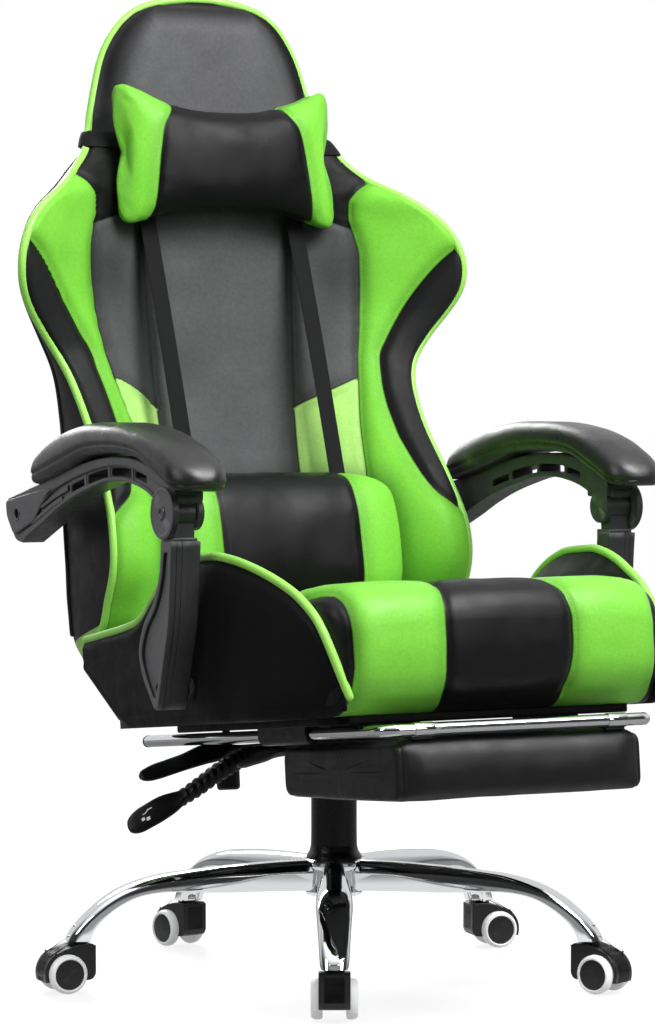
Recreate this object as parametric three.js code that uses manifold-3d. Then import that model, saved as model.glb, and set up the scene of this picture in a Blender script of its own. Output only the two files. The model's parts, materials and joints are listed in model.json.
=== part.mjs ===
// Gaming chair: five-star base on twin-wheel casters, gas lift, rocking mechanism, bucket seat,
// reclining back with linked armrests, head and lumbar pillows, and a pull-out footrest.
// Units are millimetres. +Z is up, the chair faces -Y, and +X is the sitter's left.
import * as THREE from 'three';
import { mergeVertices } from 'three/addons/utils/BufferGeometryUtils.js';
import Module from 'manifold-3d';

const wasm = await Module();
wasm.setup();

// ---------------------------------------------------------------- driving dimensions
const ORIGIN_X = -12.75;         // middle of the outer box, seen from the column axis
const ORIGIN_Y = -26.15;

const BASE_R = 335;              // column axis to caster stem
const ARM_YAW = [0, 72, 144, 216, 288].map((a) => a - 28.578 - 90);   // arm directions
const ARM_END_Z = 62.5;          // underside of an arm's end
const HUB_R = 36, HUB_Z0 = 106, HUB_Z1 = 153;
const WHEEL_R = 24.5, WHEEL_IN = 13.8, WHEEL_OUT = 28, WHEEL_SIDES = 16;
const CASTER_TRAIL = 20;         // stem axis to axle
const CASTER_YAW = [61.4, -65.5, -10.6, 101.2, 175.7];  // direction that each caster trails in
const HOOD_TOP = 60.5, HOOD_HALF = 18.6, HOOD_R = 29.2, POCKET_R = 25.4;
const STEM_R = 5.5;

const TUBE_R = 25, TUBE_Z0 = 96, TUBE_Z1 = 268;         // gas spring's outer tube
const ROD_R = 14, ROD_Z0 = 130, ROD_Z1 = 307;
const SLEEVE_R = 29;

const SEAT_TILT = 5.7 * Math.PI / 180;                  // whole seat leans back by this
const SEAT_Z = 329.7;                                   // seat underside on the column axis
const ROCK_PIVOT = [-60, 312];                          // y, z
const RAIL_X = 180, RAIL_R = 7.5, RAIL_ZL = -17.5;      // footrest rails, in the seat's tilted frame
const RAIL_FRONT = -451.5, RAIL_REAR = 171;
const PAD_HALF = 166;

const RECLINE = [125, 400];                             // y, z of the recline axis
const ARM_B = [-178, 600];                              // armrest front pivot
const ARM_C = [-151, 390];                              // armrest leg's lower pivot
const ARM_A = [250, 588];                               // armrest's rear bolt
const ARM_X = 306;                                      // armrest centre plane

// ---------------------------------------------------------------- materials
const mat = (color, roughness, metalness = 0) => new THREE.MeshStandardMaterial({ color, roughness, metalness });
const CHROME = mat(0xd8dadd, 0.12, 1), BLACK_PLASTIC = mat(0x1a1a1b, 0.45), BLACK_LEATHER = mat(0x161617, 0.42),
  GREEN_LEATHER = mat(0x62c92c, 0.4), GREY_PLASTIC = mat(0x2c2c2e, 0.5), BLACK_STEEL = mat(0x141415, 0.5, 0.6),
  TREAD = mat(0xc9c9c9, 0.55), WEBBING = mat(0x111111, 0.8);

// ---------------------------------------------------------------- solids
const toSolid = (geo) => {
  const g = geo.index ? geo.clone() : geo.clone();
  g.deleteAttribute('normal');
  g.deleteAttribute('uv');
  const m = mergeVertices(g, 1e-4);
  return new wasm.Manifold(new wasm.Mesh({ numProp: 3, vertProperties: new Float32Array(m.attributes.position.array), triVerts: new Uint32Array(m.index.array) }));
};
const toGeo = (solid) => {
  const m = solid.getMesh();
  const g = new THREE.BufferGeometry();
  const n = m.numProp, v = new Float32Array(m.vertProperties.length / n * 3);
  for (let i = 0; i < v.length / 3; i++) for (let k = 0; k < 3; k++) v[3 * i + k] = m.vertProperties[n * i + k];
  g.setAttribute('position', new THREE.BufferAttribute(v, 3));
  g.setIndex(new THREE.BufferAttribute(new Uint32Array(m.triVerts), 1));
  g.computeVertexNormals();
  return g;
};
const join = (...geos) => toGeo(geos.map(toSolid).reduce((a, b) => a.add(b)));
const cut = (geo, ...tools) => toGeo(tools.map(toSolid).reduce((a, b) => a.subtract(b), toSolid(geo)));

// turns a closed mesh's faces outward if its signed volume is negative
const faceOut = (g) => {
  const p = g.attributes.position, ix = g.index, P = (i) => new THREE.Vector3().fromBufferAttribute(p, ix.getX(i));
  let vol = 0;
  for (let i = 0; i < ix.count; i += 3) vol += P(i).dot(P(i + 1).cross(P(i + 2)));
  if (vol < 0) for (let i = 0; i < ix.count; i += 3) { const a = ix.getX(i); ix.setX(i, ix.getX(i + 1)); ix.setX(i + 1, a); }
  return g;
};
const box = (x0, x1, y0, y1, z0, z1) => new THREE.BoxGeometry(x1 - x0, y1 - y0, z1 - z0).translate((x0 + x1) / 2, (y0 + y1) / 2, (z0 + z1) / 2);
const cylX = (r, x0, x1, y, z, n = 20) => new THREE.CylinderGeometry(r, r, x1 - x0, n).rotateZ(Math.PI / 2).translate((x0 + x1) / 2, y, z);
const cylY = (r, y0, y1, x, z, n = 20) => new THREE.CylinderGeometry(r, r, y1 - y0, n).translate(x, (y0 + y1) / 2, z);
const cylZ = (r, z0, z1, x, y, n = 20) => new THREE.CylinderGeometry(r, r, z1 - z0, n).rotateX(Math.PI / 2).translate(x, y, (z0 + z1) / 2);
// profile of [radius, height] pairs turned about +Z
const lathe = (pts, n = 24) => faceOut(new THREE.LatheGeometry(pts.map(([r, z]) => new THREE.Vector2(r, z)), n).rotateX(Math.PI / 2));
// outline in (y, z) run from x0 to x1
const plateYZ = (pts, x0, x1) => {
  const s = new THREE.Shape(pts.map(([y, z]) => new THREE.Vector2(y, z)));
  const g = new THREE.ExtrudeGeometry(s, { depth: x1 - x0, bevelEnabled: false, curveSegments: 6 });
  g.applyMatrix4(new THREE.Matrix4().makeBasis(new THREE.Vector3(0, 1, 0), new THREE.Vector3(0, 0, 1), new THREE.Vector3(1, 0, 0)));
  return g.translate(x0, 0, 0);
};
// closed skin through rings of equal length, with flat caps fanned from each end ring's middle
const loft = (rings) => {
  const n = rings[0].length, v = [], f = [];
  rings.forEach((r) => r.forEach((p) => v.push(...p)));
  for (let i = 0; i + 1 < rings.length; i++) for (let j = 0; j < n; j++) {
    const a = i * n + j, b = i * n + (j + 1) % n, c = a + n, d = b + n;
    f.push(a, b, d, a, d, c);
  }
  const mid = (r) => [0, 1, 2].map((k) => r.reduce((s, p) => s + p[k], 0) / n);
  const first = v.length / 3;
  v.push(...mid(rings[0]), ...mid(rings[rings.length - 1]));
  const base = (rings.length - 1) * n;
  for (let j = 0; j < n; j++) {
    f.push(first, (j + 1) % n, j);
    f.push(first + 1, base + j, base + (j + 1) % n);
  }
  let vol = 0;
  const P = (i) => new THREE.Vector3(v[3 * i], v[3 * i + 1], v[3 * i + 2]);
  for (let i = 0; i < f.length; i += 3) vol += P(f[i]).dot(P(f[i + 1]).cross(P(f[i + 2])));
  if (vol < 0) for (let i = 0; i < f.length; i += 3) [f[i], f[i + 1]] = [f[i + 1], f[i]];
  const g = new THREE.BufferGeometry();
  g.setAttribute('position', new THREE.BufferAttribute(new Float32Array(v), 3));
  g.setIndex(f);
  g.computeVertexNormals();
  return g;
};
const lerpTable = (table, t, k) => {
  if (t <= table[0][0]) return table[0][k];
  for (let i = 1; i < table.length; i++) if (t <= table[i][0]) {
    const s = (t - table[i - 1][0]) / (table[i][0] - table[i - 1][0]);
    return table[i - 1][k] * (1 - s) + table[i][k] * s;
  }
  return table[table.length - 1][k];
};
const mirrorX = (geo) => {
  const g = geo.clone().scale(-1, 1, 1), idx = g.index;
  if (idx) for (let i = 0; i < idx.count; i += 3) { const a = idx.getX(i); idx.setX(i, idx.getX(i + 1)); idx.setX(i + 1, a); }
  return g;
};

const chair = new THREE.Group();
chair.position.set(-ORIGIN_X, -ORIGIN_Y, 0);
const add = (parent, name, geo, material, pos, rot) => {
  const m = new THREE.Mesh(geo, material);
  m.name = name;
  if (pos) m.position.set(...pos);
  if (rot) m.rotation.set(...rot);
  parent.add(m);
  return m;
};

// ---------------------------------------------------------------- star base
// one arm along +X: upper and lower edges of its side view, and its half width
const ARM = [
  // r top, z top, r bottom, z bottom, half width
  [20, 153, 20, 116, 17], [90, 151.5, 90, 116, 18.2], [150, 148.5, 150, 116.5, 20.5], [196, 144.7, 198, 119, 22],
  [229, 141, 222, 119.8, 22.6], [256, 135, 243, 118.5, 22.4], [281, 126, 263, 114.5, 21.6], [303, 113.5, 281, 106.5, 20.6],
  [322, 98.5, 297, 96, 19.6], [337, 84, 310, 84, 18.6], [346, 72, 319, 71, 17.8], [350, 62.5, 321, 62.5, 17],
];
const ARM_SECTION = [[0, 0.55], [0.16, 0.9], [0.5, 1], [0.84, 0.82], [1, 0.32]];
const armRings = ARM.map(([rt, zt, rb, zb, w]) => {
  const right = ARM_SECTION.map(([s, f]) => [rb + (rt - rb) * s, f * w, zb + (zt - zb) * s]);
  const left = ARM_SECTION.map(([s, f]) => [rb + (rt - rb) * s, -f * w, zb + (zt - zb) * s]).reverse();
  return [...right, ...left];
});
const stemBore = cylZ(6.4, ARM_END_Z - 1, 84, BASE_R, 0, 8);
const arm = cut(join(loft(armRings), cylZ(13.5, ARM_END_Z, 88, BASE_R, 0, 12)), stemBore);
const hub = lathe([[0, HUB_Z0], [HUB_R - 4, HUB_Z0], [HUB_R, HUB_Z0 + 5], [HUB_R, HUB_Z1 - 3], [HUB_R - 3, HUB_Z1], [0, HUB_Z1]], 20);
let star = toSolid(hub);
for (const yaw of ARM_YAW) star = star.add(toSolid(arm.clone().rotateZ(yaw * Math.PI / 180)));
star = star.subtract(toSolid(cylZ(TUBE_R + 0.4, HUB_Z0 - 20, HUB_Z1 + 20, 0, 0, 20)));
add(chair, 'star_base', toGeo(star), CHROME);

// ---------------------------------------------------------------- gas lift
add(chair, 'gas_outer_tube', lathe([[0, TUBE_Z0], [20, TUBE_Z0], [TUBE_R - 1, 112], [TUBE_R, 116], [TUBE_R, TUBE_Z1 - 1], [TUBE_R - 1, TUBE_Z1], [ROD_R + 0.6, TUBE_Z1], [ROD_R + 0.6, 108], [0, 108]], 20), BLACK_STEEL);
add(chair, 'lower_cover', lathe([[27.9, 153.4], [35.5, 153.4], [35.5, 155.5], [SLEEVE_R + 1, 162.5], [SLEEVE_R, 164], [SLEEVE_R, 266], [SLEEVE_R - 0.6, 267], [27.9, 267], [27.9, 153.4]], 20), BLACK_PLASTIC);
add(chair, 'upper_cover', lathe([[25.9, 176], [27.4, 176], [27.4, 283], [ROD_R + 0.6, 283], [ROD_R + 0.6, 281.4], [25.9, 281.4], [25.9, 176]], 20), BLACK_PLASTIC);
add(chair, 'piston_rod', lathe([[0, ROD_Z0], [ROD_R - 1, ROD_Z0], [ROD_R, ROD_Z0 + 1], [ROD_R, 285], [ROD_R - 0.8, ROD_Z1], [5, ROD_Z1], [5, ROD_Z1 + 1.5], [0, ROD_Z1 + 1.5]], 16), CHROME);

// ---------------------------------------------------------------- casters
const hoodOutline = (() => {
  const c = [CASTER_TRAIL, WHEEL_R], p = [[-17, HOOD_TOP - 1.5], [-17, 21], [-13, 17], [8, 13], [30, 13]];
  for (let a = -14; a <= 76; a += 15) p.push([c[0] + HOOD_R * Math.cos(a * Math.PI / 180), c[1] + HOOD_R * Math.sin(a * Math.PI / 180)]);
  p.push([10, HOOD_TOP], [-15.5, HOOD_TOP]);
  return p;
})();
// the hood is drawn in a frame whose +Y is the trailing direction and +X the axle
const pocket = (s) => cylX(POCKET_R, s > 0 ? 13.4 : -30, s > 0 ? 30 : -13.4, CASTER_TRAIL, WHEEL_R, 20);
const hoodGeo = (() => {
  const body = cut(plateYZ(hoodOutline, -HOOD_HALF, HOOD_HALF), pocket(1), pocket(-1));
  return cut(join(body, cylX(3.8, -25.2, 25.2, CASTER_TRAIL, WHEEL_R, 8)), cylZ(6.1, 39.5, 70, 0, 0, 8));
})();
const wheelRc = WHEEL_R / Math.cos(Math.PI / WHEEL_SIDES);
const wheelGeo = lathe([[0, 25.6], [4.1, 25.6], [4.1, WHEEL_IN], [21.5, WHEEL_IN], [wheelRc, 16], [wheelRc, 24.6], [20.5, WHEEL_OUT], [0, WHEEL_OUT]], WHEEL_SIDES);
const stemGeo = lathe([[0, 40], [STEM_R, 40], [STEM_R, HOOD_TOP + 0.3], [9, HOOD_TOP + 0.3], [9, 62.2], [STEM_R, 62.2], [STEM_R, 83], [0, 83]], 8);
ARM_YAW.forEach((yaw, i) => {
  const a = yaw * Math.PI / 180, x = BASE_R * Math.cos(a), y = BASE_R * Math.sin(a), n = i + 1;
  add(chair, `caster_stem_${n}`, stemGeo, CHROME, [x, y, 0]);
  const g = new THREE.Group();
  g.position.set(x, y, 0);
  g.rotation.z = (CASTER_YAW[i] - 90) * Math.PI / 180;
  chair.add(g);
  add(g, `caster_hood_${n}`, hoodGeo, BLACK_PLASTIC);
  const turn = Math.PI / WHEEL_SIDES;    // a flat of the wheel's rim faces down
  const right = wheelGeo.clone().rotateZ(0).applyMatrix4(new THREE.Matrix4().makeRotationZ(turn)).rotateY(Math.PI / 2);
  const left = wheelGeo.clone().applyMatrix4(new THREE.Matrix4().makeRotationZ(turn)).rotateY(-Math.PI / 2);
  add(g, `caster_wheel_${n}a`, right, TREAD, [0, CASTER_TRAIL, WHEEL_R]);
  add(g, `caster_wheel_${n}b`, left, TREAD, [0, CASTER_TRAIL, WHEEL_R]);
});

// ---------------------------------------------------------------- rocking mechanism
const [PY, PZ] = ROCK_PIVOT;
const socketOutline = [[-98, 302], [-98, 331], [-60, 328], [0, 311.6], [45, 297], [45, 284], [-76, 284]];
add(chair, 'mech_socket', cut(join(plateYZ(socketOutline, -56, 56)), cylZ(ROD_R + 0.6, 270, 309, 0, 0, 16), cylX(6.5, -70, 70, PY, PZ, 12)), BLACK_STEEL);
add(chair, 'rock_pin', join(cylX(6, -68.5, 68.5, PY, PZ, 12), cylX(9.5, 66, 70.5, PY, PZ, 12), cylX(9.5, -70.5, -66, PY, PZ, 12)), CHROME);

// seat group: y runs along the seat's underside and z is square to it
const seat = new THREE.Group();
seat.position.set(0, 0, SEAT_Z);
seat.rotation.x = -SEAT_TILT;
chair.add(seat);
const ct = Math.cos(SEAT_TILT), st = Math.sin(SEAT_TILT);
const toSeat = ([y, z]) => [y * ct - (z - SEAT_Z) * st, y * st + (z - SEAT_Z) * ct];

const [pyl, pzl] = toSeat(ROCK_PIVOT);
const flange = [[-106, -3], [78, -3], [78, -16], [40, -42], [-70, -42], [-106, -30]];
const mechPlate = cut(
  join(box(-113, 113, -112, 130, -3.3, -0.3), plateYZ(flange, 61, 65), plateYZ(flange, -65, -61)),
  cylX(6.5, -80, 80, pyl, pzl, 12));
add(seat, 'mech_plate', mechPlate, BLACK_STEEL);

// ---------------------------------------------------------------- seat frame
const [oyl, ozl] = toSeat(RECLINE);
const ear = (s) => {
  const x0 = s > 0 ? 231 : -236, x1 = x0 + 5;
  return join(plateYZ([[98, 0], [134, 0], [140, ozl - 4], [oyl + 12, ozl + 16], [oyl - 12, ozl + 16], [100, ozl - 6]], x0, x1), cylX(21, x0, x1, oyl, ozl, 16));
};
const seatFrame = cut(
  join(box(-186, 186, -345, 99, 0, 9), box(-236, 236, 98.5, 116, 0, 22), ear(1), ear(-1)),
  cylX(6, -260, 260, oyl, ozl, 12));
add(seat, 'seat_frame', seatFrame, BLACK_STEEL);

// ---------------------------------------------------------------- seat cushion and side wings
const CUSHION = [
  // y, half width, bottom, top
  [-436, 190, 44, 112], [-430, 208, 20, 134], [-416, 220, 6, 146], [-394, 227, 0.3, 151.5], [-347, 229, 0.3, 153],
  [-345.7, 229, 9.4, 153], [-318, 227, 9.4, 153], [-280, 216, 9.4, 149], [-230, 200, 9.4, 141], [-170, 191, 9.4, 132],
  [-80, 190, 9.4, 124], [10, 190, 9.4, 119], [80, 189, 9.4, 116], [95, 184, 11, 110],
];
add(seat, 'seat_cushion', loft(CUSHION.map(([y, w, b, t]) => {
  const half = [[0, b], [w - 10, b], [w, b + 12], [w, t - 34], [w - 10, t - 12], [w - 34, t - 3], [w * 0.45, t]];
  const R = half.map(([x, z]) => [x, y, z]);
  const L = half.slice(1).map(([x, z]) => [-x, y, z]).reverse();
  return [...R, [0, y, t], ...L];
})), BLACK_LEATHER);

const RIDGE = [
  // y, height of the piped ridge, half width there
  [-394, 84, 230], [-358, 123, 234], [-314.6, 162, 243], [-283, 180, 252], [-247, 193, 259], [-211, 199, 264], [-156, 196.8, 266],
  [-118.8, 183.4, 267.5], [-65.7, 154.5, 269], [-3.5, 125.6, 270], [88.8, 117.7, 270], [177.8, 111.5, 270],
];
const wingInner = (y) => (y < 92.5 ? lerpTable(CUSHION, y, 1) + 0.5 : 262);
const wingOuter = (y) => lerpTable([[-394, 240], [-358, 248], [-314, 258], [-283, 266], [-240, 272], [-200, 277], [-100, 278], [178, 278]], y, 1);
const wing = loft([-394, -358, -347, -345.7, -318, -314.6, -314, -283, -280, -247, -240, -230, -211, -200, -170, -156, -118.8, -100, -80, -65.7, -3.5, 10, 80, 92, 94, 130, 158, 177.8].map((y) => {
  const z = lerpTable(RIDGE, y, 1), xi = wingInner(y), xo = wingOuter(y), xr = lerpTable(RIDGE, y, 2);
  const zb = y > 45 ? (y - 45) * 0.68 : 0.3, top = lerpTable(CUSHION, Math.min(y, 94), 3);
  const rim = y < 92.5 ? xi + 2 : xi, low = y < 92.5 ? Math.min(top - 16, z - 10) : z - 6;
  return [[xi, y, zb + 0.2], [xo - 6, y, zb], [xo, y, zb + 8], [xo, y, Math.max(zb + 10, z - 22)], [Math.min(xr + 5, xo), y, z - 5], [xr, y, z], [Math.max(xr - 7, xi + 0.5), y, z - 4],
    [Math.max((xr + xi) / 2 - 6, xi), y, (z + low) / 2], [rim, y, low], [xi, y, low - 4]];
}));
add(seat, 'seat_wing_left', wing, BLACK_LEATHER);
add(seat, 'seat_wing_right', mirrorX(wing), BLACK_LEATHER);

// ---------------------------------------------------------------- footrest slides
for (const [s, side] of [[1, 'left'], [-1, 'right']]) {
  const x = s * RAIL_X;
  add(seat, `rail_sleeve_${side}`, cut(box(x - 10.5, x + 10.5, -277, -155, -29.5, -0.3), cylY(RAIL_R + 0.45, -300, -100, x, RAIL_ZL, 16)), BLACK_PLASTIC);
  add(seat, `footrest_rail_${side}`, cylY(RAIL_R, RAIL_FRONT + RAIL_R + 0.3, RAIL_REAR, x, RAIL_ZL, 16), CHROME);
}
add(seat, 'footrest_front_tube', cylX(RAIL_R, -RAIL_X - RAIL_R, RAIL_X + RAIL_R, RAIL_FRONT, RAIL_ZL, 16), CHROME);
const knuckle = (x0) => join(cylX(10.8, x0, x0 + 26, RAIL_FRONT, RAIL_ZL, 14), plateYZ([[RAIL_FRONT + 4, -29.4], [-424, -29.4], [-424, -26], [-434, -24], [RAIL_FRONT + 6, -20]], x0, x0 + 26));
add(seat, 'footrest_plate', cut(join(box(-150, 150, -430, -196, -29.4, -26.6), knuckle(118), knuckle(-144)), cylX(RAIL_R + 0.5, -200, 200, RAIL_FRONT, RAIL_ZL, 14)), BLACK_STEEL);
const PAD = [[-456, -48], [-456, -84], [-449, -96], [-436, -101], [-300, -96], [-186, -91.5], [-174, -86], [-168, -76], [-168, -44], [-176, -33], [-190, -30], [-436, -30], [-449, -36]];
add(seat, 'footrest_pad', (() => {
  const mid = [-312, -65];
  const ring = (x, k) => PAD.map(([y, z]) => [x, mid[0] + (y - mid[0]) * (1 - k * 0.06), mid[1] + (z - mid[1]) * (1 - k * 0.26)]);
  return loft([ring(-PAD_HALF, 1), ring(-PAD_HALF + 6, 0.35), ring(-PAD_HALF + 16, 0), ring(PAD_HALF - 16, 0), ring(PAD_HALF - 6, 0.35), ring(PAD_HALF, 1)]);
})(), BLACK_LEATHER);

// ---------------------------------------------------------------- levers and tension knob
// each lever lies mostly along -X: stations of [x, y, z, half depth in y, half height]
const leverGeo = (st8) => loft(st8.map(([x, y, z, hy, hz]) => [[0, 1], [0.7, 0.7], [1, 0], [0.7, -0.7], [0, -1], [-0.7, -0.7], [-1, 0], [-0.7, 0.7]].map(([u, w]) => [x, y + u * hy, z + w * hz])));
const W = (x, y, z) => { const [yl, zl] = toSeat([y, z]); return [x, yl, zl]; };
const S = (x, y, z, hy, hz) => [...W(x, y, z), hy, hz];
add(seat, 'height_lever', leverGeo([S(-66.8, 66, 292, 5, 4.5), S(-110, 68, 291, 5, 4.5), S(-124, 70, 290.5, 9, 5.5), S(-150, 73, 288, 14, 6), S(-180, 75, 281.5, 15, 5.5), S(-212, 75, 272, 14, 5), S(-230, 75, 264, 11, 4.5), S(-237, 75, 260.5, 6, 3)]), BLACK_PLASTIC);
add(seat, 'recline_lever', leverGeo([S(-66.8, 28, 291.5, 6, 6), S(-100, 29, 290, 6.5, 6.5), S(-118, 30, 285, 10, 9), S(-150, 30, 266, 11.5, 10.5), S(-180, 30, 247, 11, 10), S(-204, 30, 235, 11, 8), S(-222, 30, 228, 16, 6), S(-248, 30, 215.5, 17, 5), S(-266, 30, 207, 13, 4.5), S(-274, 30, 204, 7, 3)]), BLACK_PLASTIC);
add(seat, 'rock_lock_lever', leverGeo([S(-66.8, -8, 291, 4.5, 3.5), S(-92, -8, 288, 5, 3.5), S(-100, -7, 286, 12, 3.5), S(-125, -5, 280, 14, 3.2), S(-138, -4, 276, 8, 2.4)]), GREY_PLASTIC);
add(seat, 'tension_knob', (() => {
  const [yl, zl] = toSeat([106, 257]);
  return lathe([[0, zl - 22], [13, zl - 22], [15, zl - 20], [15, zl + 6], [12, zl + 8], [5, zl + 8], [5, -3.6], [0, -3.6]], 12).translate(-97, yl, 0);
})(), BLACK_PLASTIC);

// ---------------------------------------------------------------- back
const BACK = [
  // z, half width, y of piping, front centre, rear side, rear centre
  [410, 236, 196, 205, 236, 240], [425, 248, 158, 202, 247, 266], [450, 255, 130, 206, 252, 281], [476, 258, 121, 213, 254, 292],
  [505, 258, 103, 224, 255, 300], [533, 258, 97, 236, 259, 308], [573, 257, 105, 251, 267, 320], [608, 253, 125, 264, 277, 330],
  [652, 249, 158, 280, 288, 344], [692, 246, 192, 291, 297, 354], [736, 248, 225, 301, 304, 364], [773, 255, 248, 307, 305, 370],
  [797, 267, 257, 310, 302, 373], [826, 287, 255, 313, 288, 377], [862, 313, 243, 317, 266, 381], [887, 325, 231, 320, 255, 384],
  [915, 327, 227, 323, 251, 387], [944, 319, 230, 326, 255, 390], [976, 298, 242, 330, 273, 394], [1009, 254, 264, 333, 306, 398],
  [1032, 220, 307, 336, 346, 401], [1065, 187, 332, 340, 372, 404], [1083, 178, 343, 342, 384, 405], [1157, 156, 360, 351, 398, 405],
  [1190, 147, 363, 355, 400, 403], [1221, 131, 364, 359, 399, 401], [1244, 112, 363, 362, 394, 398], [1262, 85, 364, 366, 387, 391], [1274, 42, 370, 370, 378, 380],
];
const backHalf = (z) => {
  const [hw, yp, yc, yrs, yrc] = [1, 2, 3, 4, 5].map((k) => lerpTable(BACK, z, k));
  const x1 = Math.min(113, 0.55 * hw);
  const k2 = lerpTable([[550, 0.72], [700, 0.68], [800, 0.6], [880, 0.34], [1000, 0.34], [1080, 0.5]], z, 1);
  const k3 = lerpTable([[550, 1.02], [700, 1.04], [800, 1.0], [880, 0.8], [1000, 0.8], [1080, 0.9]], z, 1);
  const at = (f, k) => [x1 + (hw - x1) * f, yc + (yp - yc) * k];
  return [[0, yc], [x1, yc], at(0.45, k2), at(0.82, k3), [hw - 3, yp], [hw, yp + 3], [hw - 1, yrs - 3], [hw - 7, yrs], [hw * 0.62, yrs * 0.3 + yrc * 0.7], [0, yrc]];
};
const backRing = (z) => {
  const h = backHalf(z);
  return [...h.map(([x, y]) => [x, y, z]), ...h.slice(1, -1).reverse().map(([x, y]) => [-x, y, z])];
};
const bracketOutline = [[112, 385], [138, 385], [168, 425], [214, 520], [186, 530], [116, 420]];
const pocketOutline = [[98, 380], [142, 370], [174, 424], [219, 523], [183, 535], [140, 470], [96, 420]];
const backPad = cut(loft(BACK.map((r) => backRing(r[0]))), plateYZ(pocketOutline, 219.5, 229.5), plateYZ(pocketOutline, -229.5, -219.5));
add(chair, 'back_pad', backPad, BLACK_LEATHER);
for (const [s, side] of [[1, 'left'], [-1, 'right']]) {
  const x0 = s > 0 ? 222 : -227;
  add(chair, `back_bracket_${side}`, cut(join(plateYZ(bracketOutline, x0, x0 + 5), cylX(20, x0, x0 + 5, ...RECLINE, 16)), cylX(6, -260, 260, ...RECLINE, 12)), BLACK_STEEL);
}
add(chair, 'recline_shaft', cylX(5.5, -242, 242, ...RECLINE, 12), CHROME);

// head pillow, its elastic band round the back, lumbar pillow and its two webbing straps
const bag = (stations, pts) => loft(stations.map(([x, zc, hz, yc, hy, lean]) => pts.map(([u, w]) => [x, yc + u * hy + w * hz * lean, zc + w * hz])));
const ROUND = Array.from({ length: 14 }, (_, i) => {
  const a = 2 * Math.PI * i / 14, c = Math.cos(a), s = Math.sin(a), e = 0.62;
  return [Math.sign(c) * Math.abs(c) ** e, Math.sign(s) * Math.abs(s) ** e];
});
const HEAD = [[0, 1053, 68, 301, 33], [60, 1054, 73, 302, 32], [105, 1058, 81, 302, 29], [135, 1060, 88, 303, 24], [152, 1060, 92, 305, 16], [158, 1060, 84, 306, 6]];
add(chair, 'head_pillow', bag([...HEAD.slice(1).reverse().map(([x, ...r]) => [-x, ...r]), ...HEAD].map((r) => [...r, 0.12]), ROUND), BLACK_LEATHER);
const LUMBAR = [[0, 551, 84, 150, 50], [60, 551, 84, 150, 50], [110, 551, 83, 148, 46], [140, 551, 80, 143, 38], [154, 551, 72, 139, 27], [161, 551, 54, 137, 13]];
add(chair, 'lumbar_pillow', bag([...LUMBAR.slice(1).reverse().map(([x, ...r]) => [-x, ...r]), ...LUMBAR].map((r) => [...r, 0.22]), ROUND), BLACK_LEATHER);
const grow = (ring, d) => ring.map(([x, y, z], i) => {
  const n = ring.length, p = ring[(i + n - 1) % n], q = ring[(i + 1) % n];
  const t = new THREE.Vector2(q[0] - p[0], q[1] - p[1]).normalize();
  return [x + t.y * d, y - t.x * d, z];
});
add(chair, 'head_band', (() => {
  const skin = (z) => {
    const i = BACK.findIndex((r) => r[0] >= z), a = backRing(BACK[i - 1][0]), b = backRing(BACK[i][0]);
    const t = (z - BACK[i - 1][0]) / (BACK[i][0] - BACK[i - 1][0]);
    return a.map((p, j) => p.map((c, k) => c * (1 - t) + b[j][k] * t));
  };
  const sgn = grow(skin(1068), 1)[5][0] > skin(1068)[5][0] ? 1 : -1;
  const shell = (zs, d) => loft(zs.map((z) => grow(skin(z), sgn * d)));
  return cut(shell([1068, 1079, 1090], 5), shell([1060, 1066, 1079, 1091, 1098], 3));
})(), WEBBING);
for (const [s, side] of [[1, 'left'], [-1, 'right']]) {
  const ring = (y, z) => [[s * 98, y - 1.2, z], [s * 122, y - 1.2, z], [s * 122, y + 1.2, z], [s * 98, y + 1.2, z]];
  add(chair, `lumbar_strap_${side}`, loft([ring(190, 648), ring(197, 655), ring(311, 965), ring(318, 982)]), WEBBING);
}

// ---------------------------------------------------------------- linked armrests
const [AY, AZ] = ARM_A, [BY, BZ] = ARM_B, [CY, CZ] = ARM_C;
const legOutline = [[-197, 567], [-193, 512], [-188, 465], [-172, 418], [-161, 368], [-152, 363], [-120, 400], [-106, 430], [-118, 462], [-148, 494], [-163, 523], [-169, 567]];
const legGeo = cut(
  join(plateYZ(legOutline, ARM_X - 20, ARM_X + 20), plateYZ([[-192, 560], [-170, 560], [-164, 598], [-192, 598]], ARM_X - 14.6, ARM_X + 14.6),
    cylX(17.5, ARM_X - 14.8, ARM_X + 14.8, BY, BZ, 16), cylX(6, ARM_X - 24.8, ARM_X + 24.8, BY, BZ, 12)),
  plateYZ([[-184, 545], [-184, 512], [-178, 470], [-163, 424], [-153, 378], [-127, 404], [-114, 430], [-126, 458], [-155, 490], [-169, 520], [-174, 545]], ARM_X + 16.5, ARM_X + 30),
  cylX(5.8, ARM_X - 25, ARM_X + 12, CY, CZ, 8));
const bracketTop = [[290, 607], [222, 621], [167, 632], [95, 648.5], [7, 662.5], [-50, 666], [-116, 660.5], [-164, 645], [-196, 629], [-196, 618]];
const bracketLow = [[-150, 614], [-121, 625], [-88, 632], [-61, 635], [-16, 634], [42, 623], [92, 610], [140, 593], [173, 579], [204, 567], [246, 551], [262, 553], [285, 577], [292, 594]];
const windowQuads = [[[52, 628], [92, 618], [92, 625], [52, 638]], [[-18, 641], [44, 630], [44, 640], [-18, 651]], [[-84, 639], [-24, 642], [-24, 652], [-84, 649]], [[-122, 632], [-91, 638], [-91, 647], [-122, 640]]];
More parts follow.
